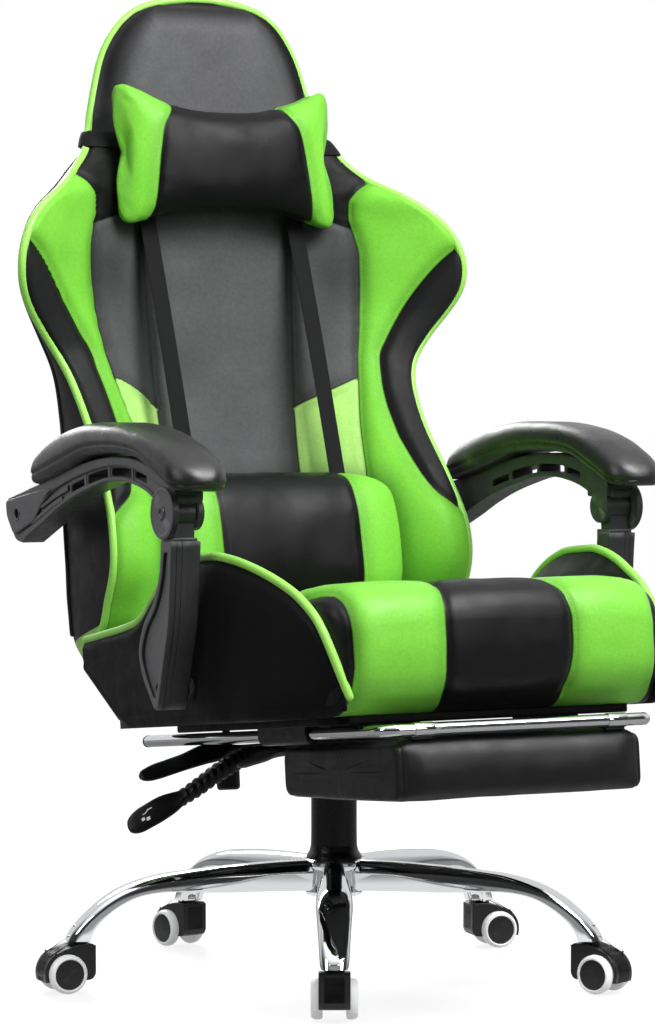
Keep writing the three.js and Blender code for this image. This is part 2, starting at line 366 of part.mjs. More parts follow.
const bracketGeo = cut(
  join(plateYZ([...bracketTop, ...bracketLow], ARM_X - 16, ARM_X + 20), cylX(30, ARM_X + 16, ARM_X + 24, BY, BZ, 20), cylX(30, ARM_X - 24, ARM_X - 16, BY, BZ, 20),
    plateYZ([[-196, 612], [-196, 629], [-164, 645], [-150, 640], [-150, 612]], ARM_X - 24, ARM_X + 24), cylX(16, 260, ARM_X - 15, AY, AZ, 16), cylX(12, ARM_X + 18, ARM_X + 23, AY, AZ, 12)),
  cylX(18.4, ARM_X - 15.2, ARM_X + 15.2, BY, BZ, 16), box(ARM_X - 15.2, ARM_X + 15.2, BY - 40, BY + 40, BZ - 50, BZ + 5), cylX(6.5, ARM_X - 40, ARM_X + 40, BY, BZ, 12),
  ...windowQuads.map((q) => plateYZ(q, ARM_X - 30, ARM_X + 30)), cylX(4.5, ARM_X + 12, ARM_X + 40, AY, AZ, 8));
const PAD_TOP = [[-284, 632], [-268, 648], [-244, 664], [-194, 686], [-126, 700], [-56, 706.5], [16, 706.5], [108, 700], [185, 685], [240, 663]];
const PAD_BOTTOM = [[-284, 618], [-268, 616], [-244, 622], [-194, 641], [-126, 665.5], [-56, 669], [16, 665.5], [108, 648.5], [185, 634], [240, 627]];
const PAD_WIDTH = [[-284, 14], [-268, 29], [-244, 35], [-194, 37], [-126, 37], [100, 36], [185, 34], [240, 30]];
const padGeo = loft(PAD_TOP.map(([y, zt], i) => {
  const zb = PAD_BOTTOM[i][1], w = lerpTable(PAD_WIDTH, y, 1), h = zt - zb;
  const half = [[0.55, 0], [0.93, 0.12], [1, 0.38], [0.93, 0.68], [0.7, 0.9], [0.35, 0.985]];
  return [...half.map(([u, v]) => [ARM_X - 1 + u * w, y, zb + v * h]), [ARM_X - 1, y, zt], ...half.reverse().map(([u, v]) => [ARM_X - 1 - u * w, y, zb + v * h])];
}));
const boltGeo = join(cylX(5, 278.6, ARM_X + 11.5, CY, CZ, 8), cylX(13, 278.6, ARM_X - 20.4, CY, CZ, 12));
for (const [s, side] of [[1, 'left'], [-1, 'right']]) {
  const m = (g) => (s > 0 ? g : mirrorX(g));
  add(chair, `arm_leg_${side}`, m(legGeo), GREY_PLASTIC);
  add(chair, `arm_bracket_${side}`, m(bracketGeo), GREY_PLASTIC);
  add(chair, `arm_pad_${side}`, m(padGeo), BLACK_LEATHER);
  add(chair, `arm_leg_bolt_${side}`, m(boltGeo), CHROME);
}

export default chair;
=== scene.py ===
import json
import math

import bmesh
import bpy
import numpy as np
from mathutils import Matrix, Vector

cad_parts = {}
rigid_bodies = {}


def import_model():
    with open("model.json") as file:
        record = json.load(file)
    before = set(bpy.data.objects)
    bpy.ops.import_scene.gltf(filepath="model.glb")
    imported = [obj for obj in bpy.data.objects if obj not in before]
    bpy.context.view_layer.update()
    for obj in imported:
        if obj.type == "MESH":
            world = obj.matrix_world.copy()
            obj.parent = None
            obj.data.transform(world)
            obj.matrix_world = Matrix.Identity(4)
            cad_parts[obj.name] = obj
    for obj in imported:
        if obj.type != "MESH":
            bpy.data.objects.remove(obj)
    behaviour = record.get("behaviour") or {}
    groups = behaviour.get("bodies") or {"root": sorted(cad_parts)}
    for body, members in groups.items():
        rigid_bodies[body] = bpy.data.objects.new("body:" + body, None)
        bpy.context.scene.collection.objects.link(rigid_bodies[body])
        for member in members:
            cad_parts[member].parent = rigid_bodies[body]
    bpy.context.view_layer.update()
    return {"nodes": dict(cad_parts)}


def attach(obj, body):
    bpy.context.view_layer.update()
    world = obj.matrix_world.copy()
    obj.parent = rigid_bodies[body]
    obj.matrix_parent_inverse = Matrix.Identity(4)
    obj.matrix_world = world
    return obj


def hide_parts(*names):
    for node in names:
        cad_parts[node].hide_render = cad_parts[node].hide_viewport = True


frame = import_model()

# Gaming chair, built over its CAD frame. Shapes are written in millimetres in the column frame
# (origin on the gas lift's axis, +Z up, the chair faces -Y) and are shifted to the row frame by W().
OFF = np.array([12.75, 26.15, 0.0])
TILT = math.radians(5.7)
CT, ST = math.cos(TILT), math.sin(TILT)
NODES = frame["nodes"]


def W(P):
    return (np.asarray(P, float).reshape(-1, 3) + OFF) / 1000.0


def SL(P):
    """Seat frame (y along the seat's underside, z square to it) to column frame."""
    P = np.asarray(P, float)
    out = P.copy()
    out[..., 1] = P[..., 1] * CT + P[..., 2] * ST
    out[..., 2] = 329.7 - P[..., 1] * ST + P[..., 2] * CT
    return out


# ---------------------------------------------------------------- numbers
def pchip(xs, ys, x):
    xs, ys, x = np.asarray(xs, float), np.asarray(ys, float), np.asarray(x, float)
    h = np.diff(xs)
    d = np.diff(ys) / h
    m = np.zeros_like(ys)
    if len(xs) == 2:
        m[:] = d[0]
    else:
        w1, w2 = 2 * h[1:] + h[:-1], h[1:] + 2 * h[:-1]
        same = d[:-1] * d[1:] > 0
        with np.errstate(divide="ignore", invalid="ignore"):
            hm = (w1 + w2) / (w1 / d[:-1] + w2 / d[1:])
        m[1:-1] = np.where(same, np.nan_to_num(hm), 0)
        for e, a, b in ((0, 0, 1), (-1, -1, -2)):
            v = ((2 * h[a] + h[b]) * d[a] - h[a] * d[b]) / (h[a] + h[b])
            if v * d[a] <= 0:
                v = 0
            elif d[a] * d[b] < 0 and abs(v) > 3 * abs(d[a]):
                v = 3 * d[a]
            m[e] = v
    i = np.clip(np.searchsorted(xs, x, side="right") - 1, 0, len(xs) - 2)
    t = np.clip((x - xs[i]) / h[i], 0, 1)
    t2, t3 = t * t, t * t * t
    return (2 * t3 - 3 * t2 + 1) * ys[i] + (t3 - 2 * t2 + t) * h[i] * m[i] + (3 * t2 - 2 * t3) * ys[i + 1] + (t3 - t2) * h[i] * m[i + 1]


def spline(pts, n=None, step=None, closed=False):
    """Smooth curve through points (N x k), even steps along its chord length."""
    P = np.asarray(pts, float)
    if closed:
        P = np.vstack([P[-2:], P, P[:3]])
    L = np.concatenate([[0], np.cumsum(np.linalg.norm(np.diff(P, axis=0), axis=1))])
    a, b = (L[2], L[-3]) if closed else (0, L[-1])
    if n is None:
        n = max(2, int(round((b - a) / step)))
    t = np.linspace(a, b, n, endpoint=not closed)
    # cubic through the points: slopes from neighbours weighted by chord (keeps a round run round)
    h = np.diff(L)
    d = np.diff(P, axis=0) / h[:, None]
    m = np.empty_like(P)
    m[1:-1] = (d[:-1] * h[1:, None] + d[1:] * h[:-1, None]) / (h[1:] + h[:-1])[:, None]
    m[0], m[-1] = d[0], d[-1]
    i = np.clip(np.searchsorted(L, t, side="right") - 1, 0, len(L) - 2)
    u = ((t - L[i]) / h[i])[:, None]
    hh = h[i][:, None]
    return (2 * u**3 - 3 * u**2 + 1) * P[i] + (u**3 - 2 * u**2 + u) * hh * m[i] + (3 * u**2 - 2 * u**3) * P[i + 1] + (u**3 - u**2) * hh * m[i + 1]


def sstep(x, a, b):
    t = np.clip((np.asarray(x, float) - a) / (b - a), 0, 1)
    return t * t * (3 - 2 * t)


def hash3(i, j, k, seed=0):
    n = (i * 73856093) ^ (j * 19349663) ^ (k * 83492791) ^ (seed * 2654435761)
    n = n & 0xFFFFFFFF
    n = ((n ^ (n >> 15)) * 2246822519) & 0xFFFFFFFF
    n = ((n ^ (n >> 13)) * 3266489917) & 0xFFFFFFFF
    return ((n ^ (n >> 16)) & 0xFFFF) / 65535.0


def vnoise(P, scale, seed=0):
    """Value noise in -1..1 over points in mm, with features of about that many mm."""
    Q = np.asarray(P, float) / np.asarray(scale, float)
    I = np.floor(Q).astype(np.int64)
    f = Q - I
    f = f * f * f * (f * (f * 6 - 15) + 10)
    out = 0.0
    for a in (0, 1):
        for b in (0, 1):
            for c in (0, 1):
                w = (f[:, 0] if a else 1 - f[:, 0]) * (f[:, 1] if b else 1 - f[:, 1]) * (f[:, 2] if c else 1 - f[:, 2])
                out = out + w * hash3(I[:, 0] + a + 1000, I[:, 1] + b + 1000, I[:, 2] + c + 1000, seed)
    return out * 2 - 1


def gsmooth(a, sig):
    """Gaussian smoothing down the rows that keeps both end rows where they are."""
    a = np.asarray(a, float)
    k = int(3 * sig)
    w = np.exp(-0.5 * (np.arange(-k, k + 1) / sig) ** 2)
    w /= w.sum()
    lo = 2 * a[0] - a[k:0:-1]
    hi = 2 * a[-1] - a[-2:-k - 2:-1]
    p = np.concatenate([lo, a, hi])
    return sum(w[i] * p[i:i + len(a)] for i in range(2 * k + 1))


def seg_dist(P, line):
    """Distance from each point to a polyline, and how far along it the nearest place is."""
    P, L = np.asarray(P, np.float32), np.asarray(line, np.float32)
    best, along = np.full(len(P), 1e9, np.float32), np.zeros(len(P), np.float32)
    run = 0.0
    for a, b in zip(L[:-1], L[1:]):
        ab = b - a
        ll = float(ab @ ab)
        if ll < 1e-9:
            continue
        t = np.clip(((P - a) @ ab) / ll, 0, 1)
        d = np.linalg.norm(P - a - t[:, None] * ab, axis=1)
        hit = d < best
        best[hit] = d[hit]
        along[hit] = run + t[hit] * math.sqrt(ll)
        run += math.sqrt(ll)
    return best, along


# ---------------------------------------------------------------- meshes
def grid_faces(nu, nv, wrap_u=False, wrap_v=False):
    i, j = np.arange(nu if wrap_u else nu - 1), np.arange(nv if wrap_v else nv - 1)
    I, J = np.meshgrid(i, j, indexing="ij")
    a, b = I * nv + J, I * nv + (J + 1) % nv
    c, d = ((I + 1) % nu) * nv + (J + 1) % nv, ((I + 1) % nu) * nv + J
    return np.stack([a, b, c, d], -1).reshape(-1, 4).tolist()


def volume(V, F):
    V = np.asarray(V, float)
    tot = 0.0
    by = {}
    for f in F:
        by.setdefault(len(f), []).append(f)
    for k, fs in by.items():
        fs = np.array(fs)
        for n in range(1, k - 1):
            a, b, c = V[fs[:, 0]], V[fs[:, n]], V[fs[:, n + 1]]
            tot += float(np.einsum("ij,ij->i", a, np.cross(b, c)).sum())
    return tot


def outward(V, F):
    return [f[::-1] for f in F] if volume(V, F) < 0 else F


def loft(R, caps=True, wrap_u=False):
    """Closed rings R (nu, nv, 3) joined in turn, each end closed to its middle."""
    R = np.asarray(R, float)
    nu, nv = R.shape[:2]
    V = R.reshape(-1, 3)
    F = grid_faces(nu, nv, wrap_u, True)
    if caps and not wrap_u:
        n0 = len(V)
        V = np.vstack([V, R[0].mean(0), R[-1].mean(0)])
        for j in range(nv):
            F.append([n0, (j + 1) % nv, j])
            F.append([n0 + 1, (nu - 1) * nv + j, (nu - 1) * nv + (j + 1) % nv])
    return V, outward(V, F)


def frames(path, closed=False):
    P = np.asarray(path, float)
    T = np.gradient(P, axis=0) if not closed else (np.roll(P, -1, 0) - np.roll(P, 1, 0))
    T /= np.linalg.norm(T, axis=1)[:, None]
    up = np.array([0, 0, 1.0]) if abs(T[0][2]) < 0.9 else np.array([0, 1.0, 0])
    n = up - T[0] * (up @ T[0])
    n /= np.linalg.norm(n)
    N = [n]
    for i in range(1, len(P)):
        n = N[-1] - T[i] * (N[-1] @ T[i])
        N.append(n / np.linalg.norm(n))
    N = np.array(N)
    return T, N, np.cross(T, N)


def tube(path, r, n=14, closed=False, round_ends=True, squash=1.0):
    P = np.asarray(path, float)
    r = np.broadcast_to(np.asarray(r, float), (len(P),)).copy()
    if round_ends and not closed:
        T, _, _ = frames(P)
        k = 4
        a = np.linspace(0, math.pi / 2, k + 1)[1:]
        h0 = [P[0] - T[0] * r[0] * math.sin(x) for x in a][::-1]
        h1 = [P[-1] + T[-1] * r[-1] * math.sin(x) for x in a]
        q0 = [max(r[0] * math.cos(x), 0.02) for x in a][::-1]
        q1 = [max(r[-1] * math.cos(x), 0.02) for x in a]
        P, r = np.vstack([h0, P, h1]), np.concatenate([q0, r, q1])
    T, N, B = frames(P, closed)
    a = np.linspace(0, 2 * math.pi, n, endpoint=False)
    R = P[:, None, :] + r[:, None, None] * (np.cos(a)[None, :, None] * N[:, None, :] * squash + np.sin(a)[None, :, None] * B[:, None, :])
    if closed:
        V = R.reshape(-1, 3)
        return V, outward(V, grid_faces(len(P), n, True, True))
    return loft(R)


def lathe(prof, n=64, axis="z", at=(0, 0, 0)):
    """Profile of (radius, height) turned about an axis through a point."""
    prof = np.asarray(prof, float)
    a = np.linspace(0, 2 * math.pi, n, endpoint=False)
    R = np.stack([prof[:, 0][:, None] * np.cos(a), prof[:, 0][:, None] * np.sin(a), np.repeat(prof[:, 1][:, None], n, 1)], -1)
    if prof[0][0] == prof[-1][0] and prof[0][1] == prof[-1][1]:
        V = R[:-1].reshape(-1, 3)
        F = grid_faces(len(prof) - 1, n, True, True)
    else:
        V, F = loft(R)
    if axis == "x":
        V = V[:, [2, 0, 1]]
    elif axis == "y":
        V = V[:, [1, 2, 0]]
    V = V + np.asarray(at, float)
    return V, outward(V, F)


def fillet(prof, r=1.0, seg=3, closed=False):
    """Rounds the corners of an open 2D profile."""
    P = np.asarray(prof, float)
    out = [P[0]]
    for a, b, c in zip(P[:-2], P[1:-1], P[2:]):
        u, v = a - b, c - b
        lu, lv = np.linalg.norm(u), np.linalg.norm(v)
        u, v = u / lu, v / lv
        if abs(u @ v) > 0.995:
            out.append(b)
            continue
        k = min(r, lu * 0.45, lv * 0.45)
        p, q = b + u * k, b + v * k
        for t in np.linspace(0, 1, seg + 1):
            out.append((1 - t) ** 2 * p + 2 * t * (1 - t) * b + t * t * q)
    out.append(P[-1])
    return np.array(out)


def round_poly(pts, r=3.0, seg=4):
    """Rounds the corners of a closed 2D outline; r may be one number or one per corner."""
    P = np.asarray(pts, float)
    n = len(P)
    rr = np.broadcast_to(np.asarray(r, float), (n,))
    out = []
    for i in range(n):
        a, b, c = P[i - 1], P[i], P[(i + 1) % n]
        u, v = a - b, c - b
        lu, lv = np.linalg.norm(u), np.linalg.norm(v)
        if lu < 1e-6 or lv < 1e-6:
            continue
        u, v = u / lu, v / lv
        if rr[i] < 0.05 or (u @ v) < -0.996:
            out.append(b)
            continue
        k = min(rr[i], lu * 0.48, lv * 0.48)
        for t in np.linspace(0, 1, seg + 1):
            out.append((1 - t) ** 2 * (b + u * k) + 2 * t * (1 - t) * b + t * t * (b + v * k))
    return np.array(out)


def plate(outlines, lo, hi, bevel=1.5, seg=3, axis="x"):
    """Outlines (the first is the rim, the rest are holes) as a plate with rounded edges from lo to hi on that axis.
    An outline for axis x is (y, z), for y is (x, z), for z is (x, y)."""
    cu = bpy.data.curves.new("tmp", "CURVE")
    cu.dimensions = "2D"
    cu.fill_mode = "BOTH"
    cu.extrude = max((hi - lo) / 2 - bevel, 0.01)
    cu.bevel_depth = bevel
    cu.bevel_resolution = seg
    cu.offset = -bevel
    for o in outlines:
        s = cu.splines.new("POLY")
        s.points.add(len(o) - 1)
        s.points.foreach_set("co", np.column_stack([np.asarray(o, float), np.zeros(len(o)), np.ones(len(o))]).ravel())
        s.use_cyclic_u = True
    ob = bpy.data.objects.new("tmp", cu)
    bpy.context.scene.collection.objects.link(ob)
    dg = bpy.context.evaluated_depsgraph_get()
    me = bpy.data.meshes.new_from_object(ob.evaluated_get(dg))
    bm = bmesh.new()
    bm.from_mesh(me)
    bmesh.ops.remove_doubles(bm, verts=bm.verts, dist=1e-3)
    bmesh.ops.recalc_face_normals(bm, faces=bm.faces)
    V = np.array([v.co[:] for v in bm.verts])
    bm.verts.index_update()
    F = [[v.index for v in f.verts] for f in bm.faces]
    bm.free()
    bpy.data.objects.remove(ob)
    bpy.data.curves.remove(cu)
    bpy.data.meshes.remove(me)
    V[:, 2] += (lo + hi) / 2
    if axis == "x":
        V = V[:, [2, 0, 1]]
    elif axis == "y":
        V = V[:, [0, 2, 1]]
    return V, outward(V, F)


def merge(*parts):
    Vs, Fs, n = [], [], 0
    for V, F in parts:
        Vs.append(V)
        Fs += [[i + n for i in f] for f in F]
        n += len(V)
    return np.vstack(Vs), Fs


def mirror(part):
    V, F = part
    V = V * np.array([-1, 1, 1.0])
    return V, [f[::-1] for f in F]


def place(part, yaw=0.0, at=(0, 0, 0), rx=0.0):
    V, F = part
    if rx:
        c, s = math.cos(rx), math.sin(rx)
        V = V @ np.array([[1, 0, 0], [0, c, s], [0, -s, c]])
    c, s = math.cos(yaw), math.sin(yaw)
    return V @ np.array([[c, s, 0], [-s, c, 0], [0, 0, 1.0]]) + np.asarray(at, float), F


def mk(name, part, material, body, replaces=(), attrs=None, angle=38, sub=0, weighted=False, raw=False):
    V, F = part
    me = bpy.data.meshes.new(name)
    me.from_pydata((V if raw else W(V)).tolist(), [], F if isinstance(F, list) else F.tolist())
    me.update()
    attrs = dict(attrs or {})
    if material.name.endswith(("leather", "skin")):
        for k, v in (("seam", 99.0), ("along", 0.0), ("green", -20.0), ("light", -20.0), ("dark", -20.0), ("neck", -20.0), ("shade", 0.0)):
            attrs.setdefault(k, np.full(len(me.vertices), v))
    for k, a in attrs.items():
        me.attributes.new(k, "FLOAT", "POINT").data.foreach_set("value", np.asarray(a, np.float32))
    ob = bpy.data.objects.new(name, me)
    bpy.context.scene.collection.objects.link(ob)
    me.materials.append(material)
    me.shade_smooth()
    if angle < 180:
        me.set_sharp_from_angle(angle=math.radians(angle))
    if sub:
        m = ob.modifiers.new("smooth", "SUBSURF")
        m.levels = m.render_levels = sub
    if weighted:
        m = ob.modifiers.new("normals", "WEIGHTED_NORMAL")
        m.keep_sharp = True
    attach(ob, body)
    if replaces:
        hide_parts(*([replaces] if isinstance(replaces, str) else replaces))
    return ob


def coords(ob):
    co = np.zeros(len(ob.data.vertices) * 3, np.float32)
    ob.data.vertices.foreach_get("co", co)
    return co.reshape(-1, 3).astype(float) * 1000 - OFF


def set_coords(ob, P):
    ob.data.vertices.foreach_set("co", W(P).astype(np.float32).ravel())
    ob.data.update()


def set_attr(ob, name, a):
    at = ob.data.attributes.get(name) or ob.data.attributes.new(name, "FLOAT", "POINT")
    at.data.foreach_set("value", np.asarray(a, np.float32))


def normals(ob):
    n = np.zeros(len(ob.data.vertices) * 3, np.float32)
    ob.data.vertices.foreach_get("normal", n)
    return n.reshape(-1, 3).astype(float)


def apply_all(ob):
    dg = bpy.context.evaluated_depsgraph_get()
    me = bpy.data.meshes.new_from_object(ob.evaluated_get(dg))
    old = ob.data
    ob.modifiers.clear()
    ob.data = me
    bpy.data.meshes.remove(old)
    ob.data.shade_smooth()


def puff(ob, cap, frames_=18, pressure=4.0, pins=None, stiff=12.0, voxel=None):
    """Blows a closed skin up like a stuffed cover; seam points stay put and no point moves further than cap mm."""
    par = ob.parent
    ob.parent = None
    if voxel:
        m = ob.modifiers.new("voxel", "REMESH")
        m.mode = "VOXEL"
        m.voxel_size = voxel / 1000
        apply_all(ob)
    if callable(pins):
        pins = pins(coords(ob))
    start = coords(ob)
    m = ob.modifiers.new("cloth", "CLOTH")
    st = m.settings
    st.quality = 5
    st.mass = 0.3
    st.use_pressure = True
    st.uniform_pressure_force = pressure
    st.effector_weights.gravity = 0
    st.tension_stiffness = st.compression_stiffness = stiff
    st.shear_stiffness = 5
    st.bending_stiffness = 0.6
    m.collision_settings.use_collision = False
    m.collision_settings.use_self_collision = False
    if pins is not None:
        g = ob.vertex_groups.new(name="pin")
        for i in np.nonzero(pins > 0.02)[0]:
            g.add([int(i)], float(min(1, pins[i])), "REPLACE")
        st.vertex_group_mass = "pin"
    m.point_cache.frame_start, m.point_cache.frame_end = 1, frames_
    sc = bpy.context.scene
    for f in range(1, frames_ + 1):
        sc.frame_set(f)
        ob.evaluated_get(bpy.context.evaluated_depsgraph_get())
    dg = bpy.context.evaluated_depsgraph_get()
    me = bpy.data.meshes.new_from_object(ob.evaluated_get(dg))
    end = np.zeros(len(me.vertices) * 3, np.float32)
    me.vertices.foreach_get("co", end)
    bpy.data.meshes.remove(me)
    ob.modifiers.clear()
    sc.frame_set(1)
    end = end.reshape(-1, 3).astype(float) * 1000 - OFF
    mv = end - start
    d = np.linalg.norm(mv, axis=1)
    k = np.where(d > 1e-6, cap * (1 - np.exp(-d / cap)) / np.maximum(d, 1e-6), 0)
    if not np.isfinite(end).all():
        k = 0
        mv = np.nan_to_num(mv)
    set_coords(ob, start + mv * (k[:, None] if not np.isscalar(k) else k))
    ob.parent = par
    ob.vertex_groups.clear()
    print(f"puff {ob.name}: {len(start)} points, moved up to {d.max():.1f} mm, mean {d.mean():.1f}")


# ---------------------------------------------------------------- materials
def srgb(r, g, b):
    return tuple(((c / 255) / 12.92 if c <= 10 else ((c / 255 + 0.055) / 1.055) ** 2.4) for c in (r, g, b)) + (1.0,)


class Sh:
    """A node material: short calls that add nodes and return their output sockets."""

    def __init__(self, name, **const):
        self.m = bpy.data.materials.new(name)
        self.m.use_nodes = True
        self.t = self.m.node_tree
        self.t.nodes.clear()
        self.b = self.t.nodes.new("ShaderNodeBsdfPrincipled")
        out = self.t.nodes.new("ShaderNodeOutputMaterial")
        self.t.links.new(self.b.outputs[0], out.inputs[0])
        for k, v in const.items():
            self.b.inputs[k.replace("_", " ")].default_value = v
        self.obj = self.t.nodes.new("ShaderNodeTexCoord").outputs["Object"]

    def put(self, kind, ins=None, **props):
        n = self.t.nodes.new(kind)
        for k, v in props.items():
            setattr(n, k, v)
        for k, v in (ins or {}).items():
            self.set(n.inputs[k], v)
        return n

    def set(self, sock, v):
        if isinstance(v, bpy.types.NodeSocket):
            self.t.links.new(v, sock)
        else:
            sock.default_value = v

    def math(self, op, a, b=0.0, c=0.0, clamp=False):
        n = self.put("ShaderNodeMath", operation=op, use_clamp=clamp)
        for i, v in enumerate((a, b, c)):
            self.set(n.inputs[i], v)
        return n.outputs[0]

    def noise(self, scale, detail=2.0, rough=0.5, vec=None, dist=0.0):
        return self.put("ShaderNodeTexNoise", {"Vector": vec or self.obj, "Scale": scale, "Detail": detail, "Roughness": rough, "Distortion": dist}).outputs[0]

    def voro(self, scale, feature="F1", rand=1.0, vec=None):
        return self.put("ShaderNodeTexVoronoi", {"Vector": vec or self.obj, "Scale": scale, "Randomness": rand}, feature=feature).outputs["Distance"]

    def remap(self, x, a, b, lo=0.0, hi=1.0, smooth=True):
        n = self.put("ShaderNodeMapRange", interpolation_type="SMOOTHSTEP" if smooth else "LINEAR")
        for i, v in enumerate((x, a, b, lo, hi)):
            self.set(n.inputs[i], v)
        return n.outputs[0]

    def mix(self, f, a, b, blend="MIX"):
        n = self.put("ShaderNodeMix", data_type="RGBA", blend_type=blend)
        self.set(n.inputs[0], f)
        self.set(n.inputs[6], a)
        self.set(n.inputs[7], b)
        return n.outputs[2]

    def attr(self, name):
        return self.put("ShaderNodeAttribute", attribute_name=name).outputs["Fac"]

    def bump(self, h, strength, dist, normal=None):
        n = self.put("ShaderNodeBump", {"Height": h, "Strength": strength, "Distance": dist})
        if normal is not None:
            self.set(n.inputs["Normal"], normal)
        return n.outputs[0]

    def scale(self, xyz, vec=None):
        return self.put("ShaderNodeMapping", {"Vector": vec or self.obj, "Scale": xyz}).outputs[0]

    def pointy(self):
        return self.t.nodes.new("ShaderNodeNewGeometry").outputs["Pointiness"]


GREEN, LIGHT, BLACK, CHARCOAL = srgb(132, 217, 70), srgb(192, 246, 134), srgb(14, 14, 15), srgb(78, 78, 80)


def leather(name, base, zones=(), seams=False, shade=None, extra=(), rough=0.42, grain=1.0, bright=0.06, stitch=True, coat=0.06, spec=0.42):
    """Coated leather: fine pebbled grain, soft creases, uneven polish; zones are (attribute, colour) painted where the attribute is above 0."""
    s = Sh(name, Coat_Weight=coat, Coat_Roughness=0.34, Specular_IOR_Level=spec, Sheen_Weight=0.04, Sheen_Roughness=0.5)
    col = base
    # painted shade: the shade attribute takes the colour towards the given black on the back's front; the boxing and
    # the rear use it for their own black leather
    if shade:
        col = s.mix(s.attr("shade"), col, shade)
    for at, c in zones:
        col = s.mix(s.remap(s.attr(at), -0.35, 0.35), col, c)
        # painted highlight: inside the black wedge the colour lifts towards dark grey away from its seams, as a padded
        # panel catching the light
        if at == "dark":
            col = s.mix(s.remap(s.attr(at), 3.0, 20.0, 0.0, 0.6), col, srgb(40, 40, 41))
    # painted shadow: the colour is taken towards black by the attribute set beside the lumbar pillow, under the head
    # pillow and below the shoulders
    if shade:
        col = s.mix(s.attr("painted_shadow"), col, (0.0, 0.0, 0.0, 1))
    big = s.noise(14, 3, 0.55)
    fine = s.noise(210, 2, 0.5)
    col = s.mix(s.remap(big, 0.3, 0.7, 0.0, bright * 2), col, (1, 1, 1, 1), "SOFT_LIGHT")
    col = s.mix(s.remap(fine, 0.25, 0.75, 0.0, 0.16), col, (0, 0, 0, 1), "SOFT_LIGHT")
    v = s.voro(780, "DISTANCE_TO_EDGE")
    peb = s.remap(v, 0.0, 0.22)
    col = s.mix(s.math("MULTIPLY", s.math("SUBTRACT", 1.0, peb), 0.22), col, (0, 0, 0, 1), "MULTIPLY")
    h = s.math("ADD", s.math("MULTIPLY", peb, 0.5), s.math("MULTIPLY", s.noise(1500, 1), 0.25))
    rg = s.math("ADD", s.remap(s.noise(46, 3, 0.6), 0.3, 0.7, rough - 0.06, rough + 0.07), s.math("MULTIPLY", peb, -0.03))
    if seams:
        d = s.math("ABSOLUTE", s.attr("seam"))
        for at in extra:
            d = s.math("MINIMUM", d, s.math("ABSOLUTE", s.attr(at)))
        line = s.remap(d, 0.2, 1.7)
        # painted shade: every panel darkens over its last 26 mm towards a seam, as the padding dips out of the light
        col = s.mix(s.math("MULTIPLY", s.math("SUBTRACT", 1.0, s.remap(d, 0.0, 26.0)), 0.36), col, (0.16, 0.24, 0.12, 1), "MULTIPLY")
        col = s.mix(s.math("MULTIPLY", s.math("SUBTRACT", 1.0, line), 0.72), col, (0, 0, 0, 1), "MULTIPLY")
        wear = s.math("MULTIPLY", s.remap(d, 1.7, 3.0), s.math("SUBTRACT", 1.0, s.remap(d, 4.0, 11.0)))
        col = s.mix(s.math("MULTIPLY", s.math("MULTIPLY", wear, s.remap(s.noise(90, 2), 0.35, 0.7)), 0.16), col, (1, 1, 1, 1), "SOFT_LIGHT")
        h = s.math("ADD", s.math("MULTIPLY", h, s.remap(d, 0.3, 2.0)), s.math("MULTIPLY", line, 1.2))
        if stitch:
            band = s.math("MULTIPLY", s.remap(d, 3.1, 3.4), s.math("SUBTRACT", 1.0, s.remap(d, 4.1, 4.4)))
            saw = s.math("FRACT", s.math("DIVIDE", s.attr("along"), 5.0))
            dash = s.math("MULTIPLY", s.remap(saw, 0.08, 0.18), s.math("SUBTRACT", 1.0, s.remap(saw, 0.74, 0.84)))
            th = s.math("MULTIPLY", band, dash)
            col = s.mix(s.math("MULTIPLY", th, 0.35), col, (1, 1, 1, 1), "SOFT_LIGHT")
            h = s.math("ADD", h, s.math("MULTIPLY", th, 1.4))
            rg = s.math("ADD", rg, s.math("MULTIPLY", th, 0.15))
    s.set(s.b.inputs["Base Color"], col)
    s.set(s.b.inputs["Roughness"], rg)
    n1 = s.bump(s.noise(30, 3, 0.5), 0.10, 0.004)
    n2 = s.bump(h, 0.20 * grain, 0.0005, n1)
    s.set(s.b.inputs["Normal"], n2)
    return s.m


def plastic(name, base, rough=0.45, speck=0.0006, edge=0.25, spec=0.4, dark=None, painted_glow=0.0):
    """Moulded plastic with a fine spark-eroded texture and paler worn edges."""
    s = Sh(name, Specular_IOR_Level=spec)
    big = s.noise(24, 3, 0.5)
    col = s.mix(s.remap(big, 0.3, 0.7, 0.0, 0.14), base, (1, 1, 1, 1), "SOFT_LIGHT")
    worn = s.math("MULTIPLY", s.remap(s.pointy(), 0.53, 0.62), s.remap(s.noise(60, 3), 0.3, 0.65))
    # painted shade: the colour is taken towards the given dark by a per-point attribute set on faces turned away from
    # the light
    if dark:
        col = s.mix(s.attr("painted_side_shade"), col, dark)
    # painted light: a faint white glow lifts the part where it sits in shade; it is no lamp
    if painted_glow:
        s.b.inputs["Emission Color"].default_value = (1, 1, 1, 1)
        s.b.inputs["Emission Strength"].default_value = painted_glow
    col = s.mix(s.math("MULTIPLY", worn, edge), col, (0.32, 0.32, 0.33, 1))
    s.set(s.b.inputs["Base Color"], col)
    s.set(s.b.inputs["Roughness"], s.remap(s.noise(120, 3, 0.6), 0.3, 0.7, rough - 0.06, rough + 0.08))
    h = s.math("ADD", s.noise(1600, 2, 0.6), s.math("MULTIPLY", s.noise(600, 1), 0.5))
    s.set(s.b.inputs["Normal"], s.bump(h, 0.16, speck))
    return s.m


